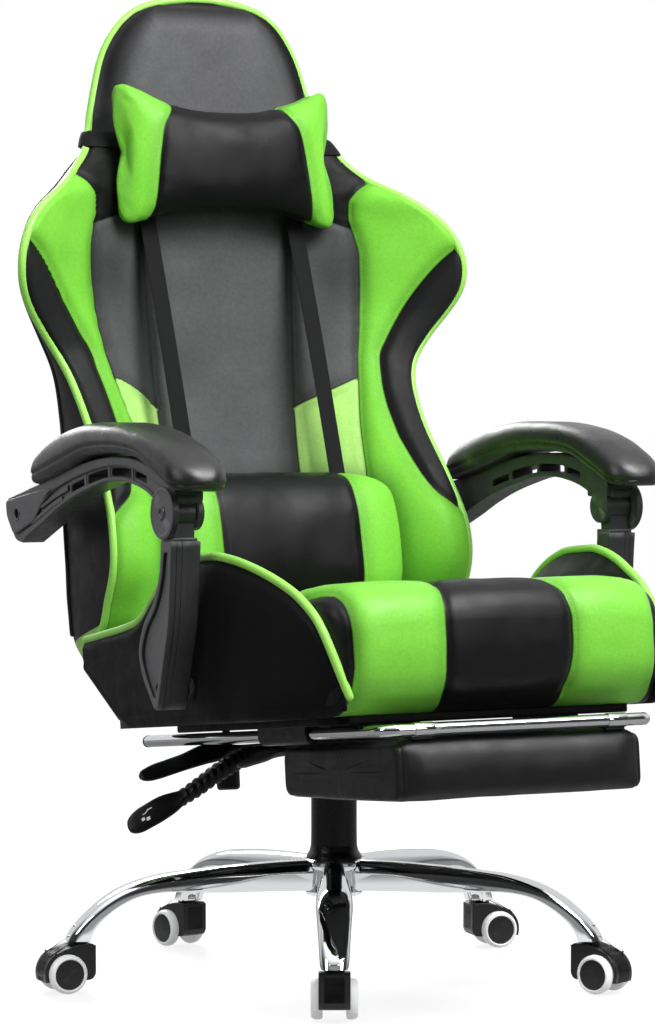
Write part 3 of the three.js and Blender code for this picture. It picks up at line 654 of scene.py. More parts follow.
def metal(name, base, rough, wear=0.0, brushed=None, spread=0.03):
    s = Sh(name, Metallic=1.0)
    smudge = s.noise(38, 4, 0.6)
    rg = s.remap(smudge, 0.35, 0.75, rough, rough + spread)
    col = s.mix(s.remap(s.noise(9, 2), 0.3, 0.7, 0.0, 0.05), base, (0.5, 0.52, 0.56, 1))
    if wear:
        col = s.mix(s.math("MULTIPLY", s.remap(s.pointy(), 0.52, 0.6), wear), col, (0.45, 0.45, 0.46, 1))
    s.set(s.b.inputs["Base Color"], col)
    s.set(s.b.inputs["Roughness"], rg)
    if brushed:
        s.set(s.b.inputs["Normal"], s.bump(s.noise(400, 2, 0.5, vec=s.scale(brushed)), 0.06, 0.0003))
    else:
        s.set(s.b.inputs["Normal"], s.bump(s.noise(26, 2), 0.02, 0.001))
    return s.m


def painted(name, base, rough=0.42):
    """Powder-coated steel: orange-peel skin, bare metal just showing on sharp edges."""
    s = Sh(name, Specular_IOR_Level=0.5)
    worn = s.math("MULTIPLY", s.remap(s.pointy(), 0.55, 0.64), s.remap(s.noise(80, 3), 0.4, 0.7))
    col = s.mix(s.remap(s.noise(30, 3), 0.3, 0.7, 0, 0.2), base, (1, 1, 1, 1), "SOFT_LIGHT")
    s.set(s.b.inputs["Base Color"], s.mix(s.math("MULTIPLY", worn, 0.4), col, (0.35, 0.35, 0.36, 1)))
    s.set(s.b.inputs["Metallic"], s.math("MULTIPLY", worn, 0.4))
    s.set(s.b.inputs["Roughness"], s.remap(s.noise(150, 2), 0.3, 0.7, rough - 0.05, rough + 0.08))
    s.set(s.b.inputs["Normal"], s.bump(s.noise(520, 2, 0.4), 0.18, 0.0006))
    return s.m


def webbing(name, base):
    """Woven strap: herringbone ribs across, fine yarn noise."""
    s = Sh(name, Sheen_Weight=0.06, Sheen_Roughness=0.4, Roughness=0.8, Specular_IOR_Level=0.15)
    sep = s.put("ShaderNodeSeparateXYZ", {0: s.obj})
    x, y, z = sep.outputs[0], sep.outputs[1], sep.outputs[2]
    w = s.math("PINGPONG", s.math("MULTIPLY", x, 420.0), 1.0)
    rib = s.math("SINE", s.math("MULTIPLY", s.math("ADD", s.math("MULTIPLY", z, 420.0), s.math("MULTIPLY", w, 1.2)), 6.283))
    rib = s.remap(rib, -1.0, 1.0)
    yarn = s.noise(1800, 2)
    col = s.mix(s.remap(rib, 0, 1, 0.55, 0.0), base, (0, 0, 0, 1))
    col = s.mix(s.remap(yarn, 0.3, 0.7, 0, 0.2), col, (1, 1, 1, 1), "SOFT_LIGHT")
    s.set(s.b.inputs["Base Color"], col)
    s.set(s.b.inputs["Roughness"], s.remap(yarn, 0.3, 0.7, 0.62, 0.85))
    s.set(s.b.inputs["Normal"], s.bump(s.math("ADD", rib, s.math("MULTIPLY", yarn, 0.4)), 0.5, 0.0005))
    return s.m


M_BACK = leather("back_leather", srgb(88, 88, 90), [("neck", BLACK), ("dark", BLACK), ("green", GREEN), ("light", LIGHT)], seams=True, rough=0.46, shade=BLACK, extra=("light", "neck"), coat=0.0, spec=0.13)
M_SEAT = leather("seat_leather", srgb(11, 11, 12), [("green", GREEN)], seams=True, rough=0.38, coat=0.0, spec=0.24)
M_PILLOW = leather("pillow_leather", srgb(10, 10, 11), [("green", GREEN)], seams=True, rough=0.36, coat=0.0, spec=0.16)
M_BLACK = leather("black_leather", srgb(12, 12, 13), seams=True, rough=0.5, coat=0.0, spec=0.11)
M_FOOT = leather("footrest_leather", srgb(14, 14, 15), seams=True, rough=0.40, coat=0.0, spec=0.34)
M_PIPING = leather("green_piping", srgb(168, 240, 104), rough=0.36, grain=0.6)
M_PIPING_K = leather("black_piping", BLACK, rough=0.4, grain=0.6)
M_ARMPAD = leather("armpad_skin", srgb(22, 22, 23), seams=True, rough=0.34, grain=1.0, stitch=False, coat=0.12, spec=0.6)
M_CHROME = metal("chrome_plate", (0.86, 0.87, 0.88, 1), 0.05)
M_STEEL = metal("bolt_steel", (0.62, 0.62, 0.63, 1), 0.24, brushed=(1, 1, 6))
M_BOLTBLACK = metal("dark_bolt", (0.16, 0.16, 0.17, 1), 0.3, wear=0.3)
M_BLACKSTEEL = painted("black_steel", srgb(22, 22, 23))
M_BLACKPLASTIC = plastic("black_plastic", srgb(14, 14, 15), 0.40, edge=0.12)
M_GLOSSPLASTIC = plastic("tube_plastic", srgb(9, 9, 10), 0.30, edge=0.05)
M_GREYPLASTIC = plastic("grey_plastic", srgb(100, 100, 102), 0.40, edge=0.55, spec=0.42, dark=srgb(12, 12, 13))
M_LEVERGREY = plastic("lever_plastic", srgb(120, 120, 122), 0.40, edge=0.2)
# painted light: the white tread, and the lever's marks that share it, glow faintly
M_TREAD = plastic("wheel_tread", srgb(240, 241, 242), 0.32, edge=0.0, painted_glow=0.2)
M_HUB = plastic("wheel_hub", srgb(12, 12, 13), 0.34, edge=0.05)
M_WEB = webbing("strap_webbing", srgb(24, 24, 25))

# ---------------------------------------------------------------- back shell
BACK = np.array([
    # z, half width, y of piping, front centre, rear side, rear centre
    [398, 244, 206, 208, 236, 238], [410, 252, 190, 206, 244, 252], [425, 256, 158, 203, 250, 270], [450, 255, 130, 206, 252, 281], [476, 258, 121, 213, 254, 292],
    [505, 258, 103, 224, 255, 300], [533, 258, 97, 236, 259, 308], [573, 257, 105, 251, 267, 320], [608, 253, 125, 264, 277, 330],
    [652, 249, 158, 280, 288, 344], [692, 246, 192, 291, 297, 354], [736, 248, 225, 301, 304, 364], [773, 255, 248, 307, 305, 370],
    [797, 267, 257, 310, 302, 373], [826, 287, 255, 313, 288, 377], [862, 313, 243, 317, 266, 381], [887, 325, 231, 320, 255, 384],
    [915, 327, 227, 323, 251, 387], [944, 319, 230, 326, 255, 390], [976, 298, 242, 330, 273, 394], [1009, 254, 264, 333, 306, 398],
    [1032, 220, 307, 336, 346, 401], [1065, 187, 332, 340, 372, 404], [1083, 178, 343, 342, 384, 405], [1157, 156, 360, 351, 398, 405],
    [1190, 147, 363, 355, 400, 403], [1221, 131, 364, 359, 399, 401], [1244, 112, 363, 362, 394, 398], [1262, 85, 364, 366, 387, 391], [1272, 44, 368, 369, 379, 382],
], float)
# half width at each height, for the seams of the front
XS = np.array([(400, 96), (640, 100), (720, 103), (775, 106), (870, 109), (984, 112), (1100, 112)], float)
XB = np.array([(400, 146), (410, 146), (480, 148), (560, 152), (641, 160), (695, 167), (768, 182), (788, 186), (846, 196), (903, 200), (930, 200), (956, 195),
               (985, 188), (1001, 188), (1020, 200), (1029, 214), (1034, 224)], float)
XW = np.array([(584, 262), (590, 254), (599, 244), (617, 223), (636, 214), (662, 208), (692, 204), (720, 204), (748, 206), (772, 210), (797, 215), (817, 226), (842, 241),
               (873, 260), (895, 275), (917, 292), (940, 316), (948, 328)], float)


def back_rows():
    """The outline up the shell: a point under the first station, each station's half width and height, and the top's
    middle.
    """
    o = np.vstack([[BACK[0, 1] - 26, 400], BACK[:, [1, 0]], [[0, 1275.5]]])
    return o


def back_front(x, z, T):
    """y of the padded front at half width x: flat middle, then rising to the bolster's edge."""
    hw, yp, yc = T
    x1 = np.minimum(113, 0.55 * hw)
    k2 = pchip([400, 550, 700, 800, 880, 1000, 1080, 1280], [0.72, 0.72, 0.68, 0.6, 0.34, 0.34, 0.5, 0.5], z)
    k3 = pchip([400, 550, 700, 800, 880, 1000, 1080, 1280], [1.02, 1.02, 1.04, 1.0, 0.8, 0.8, 0.9, 0.9], z)
    f = np.clip((x - x1) / np.maximum(hw - x1, 1e-6), 0, 1)
    out = np.zeros_like(x)
    xs = np.array([0, 0.45, 0.82, 1.0])
    for i in range(len(x)):
        out[i] = pchip(xs, [0, k2[i], k3[i], 1.0], f[i:i + 1])[0]
    return yc + (yp - yc) * out


def build_back():
    z_key = BACK[:, 0]
    # rows by even steps along the outline, then each row's own table values
    out = np.vstack([BACK[:, [1, 0]], [[0, 1276]]])
    L = np.concatenate([[0], np.cumsum(np.linalg.norm(np.diff(out, axis=0), axis=1))])
    nrow = 300
    t = np.linspace(0, L[-1], nrow)
    hw = pchip(L, out[:, 0], t)
    z = pchip(L, out[:, 1], t)
    hw = gsmooth(hw, 4.0)
    hw[-1] = 0.6
    cols = {k: pchip(np.append(z_key, 1276.0), np.append(BACK[:, k], v), z) for k, v in ((2, 373), (3, 371), (4, 377), (5, 377))}
    yp, yc, yrs, yrc = (gsmooth(cols[k], 4.0) for k in (2, 3, 4, 5))
    # below the first station the shell turns under
    nf, nb, nr = 64, 16, 34
    k2 = pchip([400, 550, 700, 800, 880, 1000, 1080, 1280], [0.72, 0.72, 0.68, 0.6, 0.34, 0.34, 0.5, 0.5], z)
    k3 = pchip([400, 550, 700, 800, 880, 1000, 1080, 1280], [1.02, 1.02, 1.04, 1.0, 0.8, 0.8, 0.9, 0.9], z)
    k2, k3 = gsmooth(k2, 9.0), gsmooth(k3, 9.0)
    R, drop, kind = [], [], []
    for i in range(nrow):
        x1 = min(113.0, 0.55 * hw[i])
        u = np.concatenate([np.linspace(0, x1, 26, endpoint=False), np.linspace(x1, hw[i], nf - 26)])
        f = np.clip((u - x1) / max(hw[i] - x1, 1e-6), 0, 1)
        yf = yc[i] + (yp[i] - yc[i]) * pchip([0, 0.45, 0.82, 1.0], [0, k2[i], k3[i], 1.0], f)
        # the hood's front edge rolls back softly to its piping
        dr = float(min(11.0 * sstep(z[i], 1060, 1115), 0.42 * (yrs[i] - yp[i])))
        yf = yf + dr * (1 - sstep(np.minimum(hw[i] - u, max(1276 - z[i], 0) * 1.1), 2, 40))
        drop.append(dr)
        front = np.stack([u, yf], 1)
        s = np.linspace(0, 1, nb + 2)[1:-1]
        bulge = 3.0 * np.sin(math.pi * s)
        tk = 20.0 * float(sstep(z[i], 1030, 1110)) * min(1, hw[i] / 90)
        box = np.stack([hw[i] - 1 + bulge * min(1, hw[i] / 40) - 5 * s**3 * min(1, hw[i] / 60) - tk * sstep(s, 0.12, 1.0), yp[i] + dr + (yrs[i] - yp[i] - dr) * s], 1)
        q = np.linspace(0, 1, nr)
        rx = (hw[i] - 6 - tk) * (1 - q) if hw[i] > 8 else hw[i] * 0.9 * (1 - q)
        g = pchip([0, 0.38, 1.0], [0, 0.7, 1.0], q)
        # rounded shoulder where the boxing meets the rear
        rear = np.stack([rx, yrs[i] + (yrc[i] - yrs[i]) * g], 1)
        h = np.vstack([front, box, rear])
        R.append(h)
        kind.append(np.concatenate([np.zeros(len(front)), np.ones(len(box)), np.full(len(rear), 2)]))
    R = np.array(R)
    kind = np.array(kind)
    zz = np.repeat(z[:, None], R.shape[1], 1)
    half = np.stack([R[..., 0], R[..., 1], zz], -1)                   # (rows, n, 3)
    n = half.shape[1]
    full = np.concatenate([half, (half * [-1, 1, 1])[:, 1:-1][:, ::-1]], 1)
    kf = np.concatenate([kind, kind[:, 1:-1][:, ::-1]], 1)
    # the bottom edge is rolled under
    foot = []
    c = np.array([0, full[0, :, 1].mean(), 0])
    for d, s_ in ((-16, 0.80), (-13, 0.90), (-8, 0.96), (-3, 0.99)):
        r = full[0].copy()
        r[:, :2] = c[:2] + (r[:, :2] - c[:2]) * s_
        r[:, 2] += d
        foot.append(r)
    full = np.concatenate([np.array(foot), full], 0)
    kf = np.concatenate([np.repeat(kf[:1], 4, 0), kf], 0)
    hwf = np.concatenate([np.full(4, hw[0]), hw])
    V, F = loft(full)
    kv = np.concatenate([kf.ravel(), [2, 2]])
    hv = np.concatenate([np.repeat(hwf, full.shape[1]), [hwf[0], 0.6]])
    return V, F, kv, hv, full, (hw, z, yp + np.array(drop), yrs)


V, F, kind, hv, rings, OUTL = build_back()
ax, z = np.abs(V[:, 0]), V[:, 2]
front = kind == 0
# surface lines of the seams, kept for the distances
GR = rings[4:, :64]                                                     # front half rows, +X side


def on_front(pts):
    """(z, |x|) pairs to points on the front surface."""
    out = []
    zr = GR[:, 0, 2]
    for zz, xx in pts:
        i = int(np.clip(np.searchsorted(zr, zz), 1, len(zr) - 1))
        t_ = (zz - zr[i - 1]) / max(zr[i] - zr[i - 1], 1e-6)
        row = GR[i - 1] * (1 - t_) + GR[i] * t_
        out.append([xx, np.interp(xx, row[:, 0], row[:, 1]), zz])
    return np.array(out)


zs = np.arange(400, 1101, 6.0)
line_s = on_front([(q, pchip(XS[:, 0], XS[:, 1], q)) for q in zs[zs <= 1066]])
arch = on_front([(1066 + 26 * math.sin(a), 112 * math.cos(a) ** 0.6) for a in np.linspace(0, 1.5, 12)])
line_s = np.vstack([line_s, arch])
line_b = on_front([(q, pchip(XB[:, 0], XB[:, 1], q)) for q in np.arange(400, 1034.1, 4)])
line_w = on_front([(q, pchip(XW[:, 0], XW[:, 1], q)) for q in np.arange(584, 947, 4)])
sl = [(722 + (x - 98) * 0.52, x) for x in np.arange(100, 178, 4)]
line_l = on_front(sl)
A = np.column_stack([ax, V[:, 1], z])
d_s, a_s = seg_dist(A, line_s)
d_b, a_b = seg_dist(A, line_b)
d_w, a_w = seg_dist(A, line_w)
d_l, a_l = seg_dist(A, line_l)
xs_, xb_, xw_ = pchip(XS[:, 0], XS[:, 1], z), pchip(XB[:, 0], XB[:, 1], z), pchip(XW[:, 0], XW[:, 1], z)
zl_ = 722 + (ax - 98) * 0.52
in_b = (ax > xb_) & (z < 1034)
in_w = (ax > xw_) & (z > 584) & (z < 947)
in_l = (ax > xs_) & (ax < xb_) & (z < zl_) & front
inner = (ax < xs_) & (z < 1066)
# green: bolster but not wedge
gd = np.where(in_b & ~in_w, np.minimum(d_b, d_w), -np.minimum(d_b, np.where(in_w, d_w, 1e3)))
gd = np.where(front, gd, -20.0)
foot = ((419 + (250 - V[:, 1]) * 0.3) - z)
gd = np.where(~front, np.clip(foot, -20, 20), gd)
light = np.where(in_l, np.minimum(np.minimum(d_s, d_b), d_l), -np.minimum(np.where(z < zl_ + 20, np.minimum(d_s, d_b), d_l), d_l))
light = np.where(front, light, np.clip(foot, -20, 20))
# the black neck between hood and shoulders ends at a cross seam
def neck_z(x):
    return 962 + (206 - x) * 0.34


line_n = on_front([(neck_z(x), x) for x in np.append(np.arange(104, 192, 4.0), 193.0)])
d_n, a_n = seg_dist(A, line_n)
arch_z = 1066 + 26 * np.sqrt(np.clip(1 - (ax / 112.0) ** 3.333, 0, 1))
in_arch = (ax < xs_) & (z < arch_z)
in_n = front & ~in_arch & (ax > 90) & ~(in_b) & (z > neck_z(ax)) & (z < 1079)
neck = np.where(in_n, np.minimum(np.minimum(d_n, np.minimum(d_s, d_b)), np.abs(1079 - z)), -np.minimum(np.minimum(d_n, np.where(z > 940, np.minimum(d_s, d_b), 99)), np.abs(1079 - z)))
neck = np.where(front & (z > 930), neck, -20.0)
# seams: every line, only where it is really sewn; the sign flips from panel to panel
seam = np.full(len(V), 99.0)
along = np.zeros(len(V))
for d, a_, keep in ((d_s, a_s, front), (d_b, a_b, front), (d_w, a_w, front), (d_l, a_l, front & (ax > xs_ - 6) & (ax < xb_ + 6))):
    m = keep & (d < seam)
    seam[m], along[m] = d[m], a_[m]
rear_in = np.where(kind == 2, hv - ax, 99)
line_r = np.abs(rear_in - 46)
m = (kind == 2) & (z > 440) & (z < 1236) & (line_r < seam)
seam[m], along[m] = (rear_in - 46)[m], z[m]
# padding: each panel swells between its seams, and the hood is domed inside its edge
dd = np.minimum(np.minimum(d_s, d_b), d_w)
edge = np.abs(hv - ax)
par = np.where(in_arch, -1, 1) * np.where(in_b, -1, 1) * np.where(in_w, -1, 1)
seam = np.where(front, seam * par, seam)
N_ = np.zeros_like(V)
body = mk("back_shell", (V, F), M_BACK, "back", replaces="back_pad", angle=180)
N_ = normals(body)
crown = np.zeros(len(V))
wide = np.where(inner, 9.0, np.where(in_b, 5.5, 4.5))
crown += np.where(front, wide * (1 - np.exp(-dd / np.where(inner, 26.0, 15.0))) - 3.0 * np.exp(-(dd / 5.5) ** 2), 0)
crown -= np.where(in_n | ((neck > -16) & front), 2.0 * np.exp(-(d_n / 5.0) ** 2) * (ax > 106) * (~in_b), 0)
crown -= np.where(front, 1.6 * np.exp(-(d_l / 3.0) ** 2) * ((ax > xs_ - 4) & (ax < xb_ + 4)), 0)
zh = sstep(z, 1066, 1120)
d_edge = np.minimum(edge, np.maximum(1276 - z, 0) * 1.1)
crown = np.where(z > 1066, crown * (1 - zh) + (6.5 * sstep(d_edge, 10, 60) + 0) * zh * front, crown)
crown -= np.where(kind == 2, 2.6 * np.exp(-(line_r / 3.2) ** 2) * ((z > 440) & (z < 1236)), 0)
crown += np.where(kind == 2, 4.0 * sstep(rear_in, 46, 90) * sstep(z, 430, 500) * (1 - sstep(z, 1180, 1240)), 0)
# near the piping everything comes back to the outline
hold = sstep(edge, 0.5, 6.0)
crown = np.where(front, crown * hold, crown)
# puckers run off the seams, long soft creases over the panels
al = np.column_stack([along * 1.0, dd * 0.16, np.zeros(len(V))])
pucker = vnoise(al, (9.0, 9.0, 9.0), 3) * 0.55 * np.exp(-dd / 12.0) * front * sstep(dd, 1.2, 4)
soft = vnoise(V, (62, 62, 74), 5) * 1.5 + vnoise(V, (27, 27, 31), 6) * 0.5
P = V + N_ * (crown + pucker + soft * sstep(np.minimum(np.abs(seam), edge), 2, 22))[:, None]
set_coords(body, P)
set_attr(body, "green", gd)
set_attr(body, "light", light)
set_attr(body, "dark", np.where(front, np.where(in_w, d_w, -d_w), 20.0))
set_attr(body, "seam", seam)
set_attr(body, "along", along)
set_attr(body, "neck", neck)
# painted shade round the hood's rim and along the creases beside the centre panel, standing in for the dip of the
# padding and the straps' shadow; the boxing and the rear use the same attribute for their own black leather, the rear a
# little lighter with a darker line along its seam
painted_front_shade = (1 - sstep(d_edge, 10, 50)) * sstep(z, 1072, 1092) * front * 0.97
painted_front_shade = np.maximum(painted_front_shade, front * (z < 1062) * 0.55 * np.exp(-(d_s / 13.0) ** 2) * sstep(z, 420, 520))
painted_front_shade = np.maximum(painted_front_shade, front * (ax > xs_) * (z < 1062) * (z > 700) * 0.5 * np.exp(-(d_b / 9.0) ** 2) * (ax < xb_))
set_attr(body, "shade", np.where(kind == 2, 0.80 + 0.16 * np.exp(-(line_r / 9.0) ** 2), np.where(kind > 0, 1.0, painted_front_shade)))
# painted shadow on the front: beside the lumbar pillow, under the head pillow, and around 905 mm up from the centre
# panel out to the bolsters
painted_shadow = front * 0.72 * np.exp(-(np.clip(ax - 168, 0, 99) / 21.0) ** 2) * sstep(z, 400, 440) * (1 - sstep(z, 610, 660))
painted_shadow = np.maximum(painted_shadow, front * 0.5 * np.exp(-((z - 962) / 26.0) ** 2) * (1 - sstep(ax, 120, 190)))
painted_shadow = np.maximum(painted_shadow, front * 0.45 * sstep(ax, 120, 170) * (1 - sstep(ax, 190, 235)) * np.exp(-((z - 905) / 48.0) ** 2))
set_attr(body, "painted_shadow", painted_shadow)

hw, zo, yp, yrs = OUTL
k = np.arange(2, len(hw), 2)
k = k[hw[k] > 16]
pd_ = 1.5 * sstep(zo[k], 1060, 1120) * np.clip(hw[k] / 100, 0, 1)
right = np.column_stack([hw[k] + 1.2 - 0.5 * pd_, yp[k] + 3.5 + pd_, zo[k] - 1.3 * sstep(zo[k], 1235, 1268)])
path = np.vstack([right, [[0, right[-1, 1] + 0.2, right[-1, 2] + 0.25]], (right * [-1, 1, 1])[::-1]])
path = spline(path, step=5.0)
mk("back_piping", tube(path, 5.4, 14), M_PIPING, "back", angle=180, attrs=None)
k = k[(zo[k] > 426)]
rp = np.column_stack([np.maximum(hw[k] - 5.5 - 20.0 * sstep(zo[k], 1030, 1110) * np.minimum(1, hw[k] / 90), 2), yrs[k] + 0.5, zo[k]])
rp = spline(np.vstack([rp, [[0, 379, 1275]], (rp * [-1, 1, 1])[::-1]]), step=6.0)
mk("back_rear_piping", tube(rp, 3.2, 10), M_PIPING_K, "back", angle=180)

# ---------------------------------------------------------------- pillows
def se(c, e):
    return np.sign(c) * np.abs(c) ** e


def bag_mesh(nu, nv, fn):
    """Closed form from pole to pole along X: fn(u, a) -> point, u -1..1 along the length, a round it."""
    u = -np.cos(np.linspace(0, math.pi, nu + 2))[1:-1]
    a = np.linspace(0, 2 * math.pi, nv, endpoint=False)
    U, A_ = np.meshgrid(u, a, indexing="ij")
    return loft(fn(U, A_))


def head_shape(U, A_, k=1.0):
    c, s = np.cos(A_), np.sin(A_)
    v = se(s, 0.62)                                     # -1..1 up the pillow
    uu = np.sign(U) * (1 - (1 - np.abs(U)) ** 1.6) if False else U
    hz = (66 + 43 * np.abs(uu) ** 2.6) * (1 - np.abs(uu) ** 15) ** 0.22
    zc = 1053 + 7 * np.abs(uu) ** 2
    thick = 36 * (1 - np.abs(uu) ** 8.0) ** 0.5 * (1 - 0.14 * np.abs(uu) ** 2)
    x = uu * (147 + 19 * np.abs(v) ** 2.2)
    zz = zc + v * hz * k
    y = 303 + se(c, 0.62) * thick * (1 - 0.15 * np.abs(v) ** 4) + (zz - 1053) * 0.12 + 3 * np.abs(uu) ** 2
    return np.stack([x * k, y, zz], -1)


V, F = bag_mesh(96, 72, lambda U, A_: head_shape(U, A_, 0.985))
pillow = mk("head_pillow_cover", (V, F), M_PILLOW, "back", replaces="head_pillow", angle=180)
HEAD_SEAM = ([975, 988, 1030, 1060, 1095, 1125, 1150], [119, 117, 112, 108, 101, 83, 78])


def head_rim(P):
    """Distance from the seam round the pillow's edge."""
    yc_ = 303 + (P[:, 2] - 1053) * 0.12 + 3 * (np.abs(P[:, 0]) / 150) ** 2
    return np.abs(P[:, 1] - yc_)


puff(pillow, 7.0, frames_=14, pressure=3.0, pins=lambda P: 1.0 * (np.abs(np.abs(P[:, 0]) - pchip(*HEAD_SEAM, P[:, 2])) < 3.2), stiff=14)
P = coords(pillow)
sx = np.abs(P[:, 0]) - pchip(*HEAD_SEAM, P[:, 2])
rim = np.where((np.abs(P[:, 2] - 1053) > 50) | (np.abs(P[:, 0]) > 120), head_rim(P), 99)
rim_s = np.where(P[:, 1] > 303 + (P[:, 2] - 1053) * 0.12 + 3 * (np.abs(P[:, 0]) / 150) ** 2, 1, -1)
n_ = normals(pillow)
pk = vnoise(np.column_stack([P[:, 2], np.abs(sx) * 0.2, P[:, 1]]), 8.0, 4) * 0.6 * np.exp(-np.abs(sx) / 11)
corner = sstep(np.abs(P[:, 0]), 96, 140) * sstep(np.abs(P[:, 2] - 1058), 40, 84)
pk += vnoise(np.column_stack([P[:, 0] + P[:, 2], (P[:, 0] - P[:, 2]) * 0.3, P[:, 1]]), 11.0, 9) * 1.2 * corner
P = P + n_ * (-2.6 * np.exp(-(sx / 3.2) ** 2) - 1.8 * np.exp(-(rim / 2.6) ** 2) + pk + vnoise(P, 42.0, 8) * 1.3)[:, None]
set_coords(pillow, P)
set_attr(pillow, "green", sx)
set_attr(pillow, "seam", np.minimum(np.abs(sx), rim * 1.0) * np.sign(sx) * rim_s)
set_attr(pillow, "along", np.where(np.abs(sx) < rim, P[:, 2], P[:, 2] + np.abs(P[:, 0])))
m = pillow.modifiers.new("smooth", "SUBSURF"); m.levels = m.render_levels = 1


def lumbar_shape(U, A_, k=1.0):
    c, s = np.cos(A_), np.sin(A_)
    v = se(s, 0.6)
    end = (1 - np.abs(U) ** 4.6) ** 0.42                 # rounds the ends over
    hz = 87 * (0.60 + 0.40 * end)
    thick = 51 * (0.16 + 0.84 * end)
    x = U * 174 * k
    zz = 553.5 + v * hz * k
    bow = (np.abs(x) / 160.0) ** 2 * 12
    y = 162 - bow + se(c, 0.66) * thick * (1 - 0.12 * np.abs(v) ** 4) + (zz - 551) * 0.22
    return np.stack([x, y, zz], -1)


V, F = bag_mesh(104, 76, lambda U, A_: lumbar_shape(U, A_, 0.985))
lumbar = mk("lumbar_pillow_cover", (V, F), M_PILLOW, "back", replaces="lumbar_pillow", angle=180)
puff(lumbar, 6.0, frames_=14, pressure=3.0, pins=lambda P: 1.0 * (np.abs(np.abs(P[:, 0]) - 101) < 3.2), stiff=14)
P = coords(lumbar)
sx = np.abs(P[:, 0]) - 101
n_ = normals(lumbar)
yc_ = 162 + (P[:, 2] - 551) * 0.22 - (np.abs(P[:, 0]) / 160.0) ** 2 * 12 + 22
rim = np.where((np.abs(P[:, 2] - 551) > 60) | (np.abs(P[:, 0]) > 140), np.abs(P[:, 1] - yc_), 99)
pk = vnoise(np.column_stack([P[:, 2], np.abs(sx) * 0.2, P[:, 1]]), 8.5, 14) * 0.5 * np.exp(-np.abs(sx) / 10)
P = P + n_ * (-2.4 * np.exp(-(sx / 3.2) ** 2) - 1.6 * np.exp(-(rim / 2.4) ** 2) + pk + vnoise(P, 46.0, 18) * 1.3)[:, None]
set_coords(lumbar, P)
set_attr(lumbar, "green", sx)
set_attr(lumbar, "seam", np.minimum(np.abs(sx), rim) * np.sign(sx) * np.where(P[:, 1] > yc_, 1, -1))
set_attr(lumbar, "along", np.where(np.abs(sx) < rim, P[:, 2], P[:, 2] + np.abs(P[:, 0])))
m = lumbar.modifiers.new("smooth", "SUBSURF"); m.levels = m.render_levels = 1

# ---------------------------------------------------------------- head band and lumbar straps
def ring_at(zq):
    zr = rings[4:, 0, 2]
    i = int(np.clip(np.searchsorted(zr, zq), 1, len(zr) - 1))
    t_ = (zq - zr[i - 1]) / max(zr[i] - zr[i - 1], 1e-6)
    return rings[4 + i - 1] * (1 - t_) + rings[4 + i] * t_


def grown(ring, d):
    t_ = np.roll(ring, -1, 0) - np.roll(ring, 1, 0)
    n_ = np.stack([t_[:, 1], -t_[:, 0]], 1)
    n_ /= np.maximum(np.linalg.norm(n_, axis=1), 1e-6)[:, None]
    c_ = ring[:, :2].mean(0)
    if ((ring[:, :2] - c_) * n_).sum() < 0:
        n_ = -n_
    out = ring.copy()
    out[:, :2] += n_ * d
    return out


bz = np.array([1067, 1067.6, 1069, 1075, 1082, 1088, 1090.2, 1091])
bd = np.array([1.2, 5.4, 8.2, 9.2, 9.2, 8.2, 5.4, 1.2])
outer = []
for zq, d in zip(bz, bd):
    r = grown(ring_at(zq), d)
    r[:, 1] += 9.0 * ((np.abs(r[:, 0]) < 90) & (r[:, 1] < 352)) * 0
    r[:, 2] = zq + vnoise(np.column_stack([r[:, 0], r[:, 1], np.zeros(len(r))]), 60.0, 31) * 0.8
    outer.append(r)
R = np.concatenate([np.array(outer), np.array([grown(ring_at(1079), 0.6)])], 0)
Vb, Fb = R.reshape(-1, 3), grid_faces(len(R), R.shape[1], True, True)
mk("head_band_strap", (Vb, outward(Vb, Fb)), M_WEB, "back", replaces="head_band", angle=60)


def strap_path(s, x0, x1):
    """Taut flat webbing from behind the lumbar pillow up and in under the head pillow."""
    t_ = np.linspace(0, 1, 80)
    y_ = 184 + (320 - 184) * t_ - 3.0 * np.sin(math.pi * t_)
    z_ = 612 + (990 - 612) * t_
    xm = (x0 + x1) / 2
    w_, th = (x1 - x0) / 2, 0.8
    prof = [(-w_, -th * 0.4), (-w_ + 0.8, -th), (-w_ * 0.5, -th), (0, -th), (w_ * 0.5, -th), (w_ - 0.8, -th), (w_, -th * 0.4), (w_, th * 0.4), (w_ - 0.8, th), (w_ * 0.5, th), (0, th), (-w_ * 0.5, th), (-w_ + 0.8, th), (-w_, th * 0.4)]
    tw = 0.05 * np.sin(t_ * 3.4 + s)
    Rr = np.array([[[s * xm + a_ * math.cos(k_), yy + b_ + a_ * math.sin(k_), zz] for a_, b_ in prof] for yy, zz, k_ in zip(y_, z_, tw)])
    return loft(Rr)


for s, side in ((1, "left"), (-1, "right")):
    mk(f"lumbar_strap_{side}_web", strap_path(s, 98, 122), M_WEB, "back", replaces=f"lumbar_strap_{side}", angle=50)

# ---------------------------------------------------------------- seat cushion (seat frame coordinates)
CUSH = np.array([
    # y, half width, bottom, top
    [-441, 184, 82, 106], [-438.5, 196, 62, 119], [-434, 204, 46, 129], [-427, 211, 33, 138], [-415, 217.5, 19, 146], [-402, 222, 8, 150.3],
    [-386, 226, 2, 152.2], [-347, 229, 1, 153],
    [-318, 227, 3, 153], [-280, 216, 9.4, 149], [-230, 200, 9.4, 141], [-170, 191, 9.4, 132],
    [-80, 190, 9.4, 124], [10, 190, 9.4, 119], [80, 189, 9.4, 116], [95, 184, 11, 110]], float)



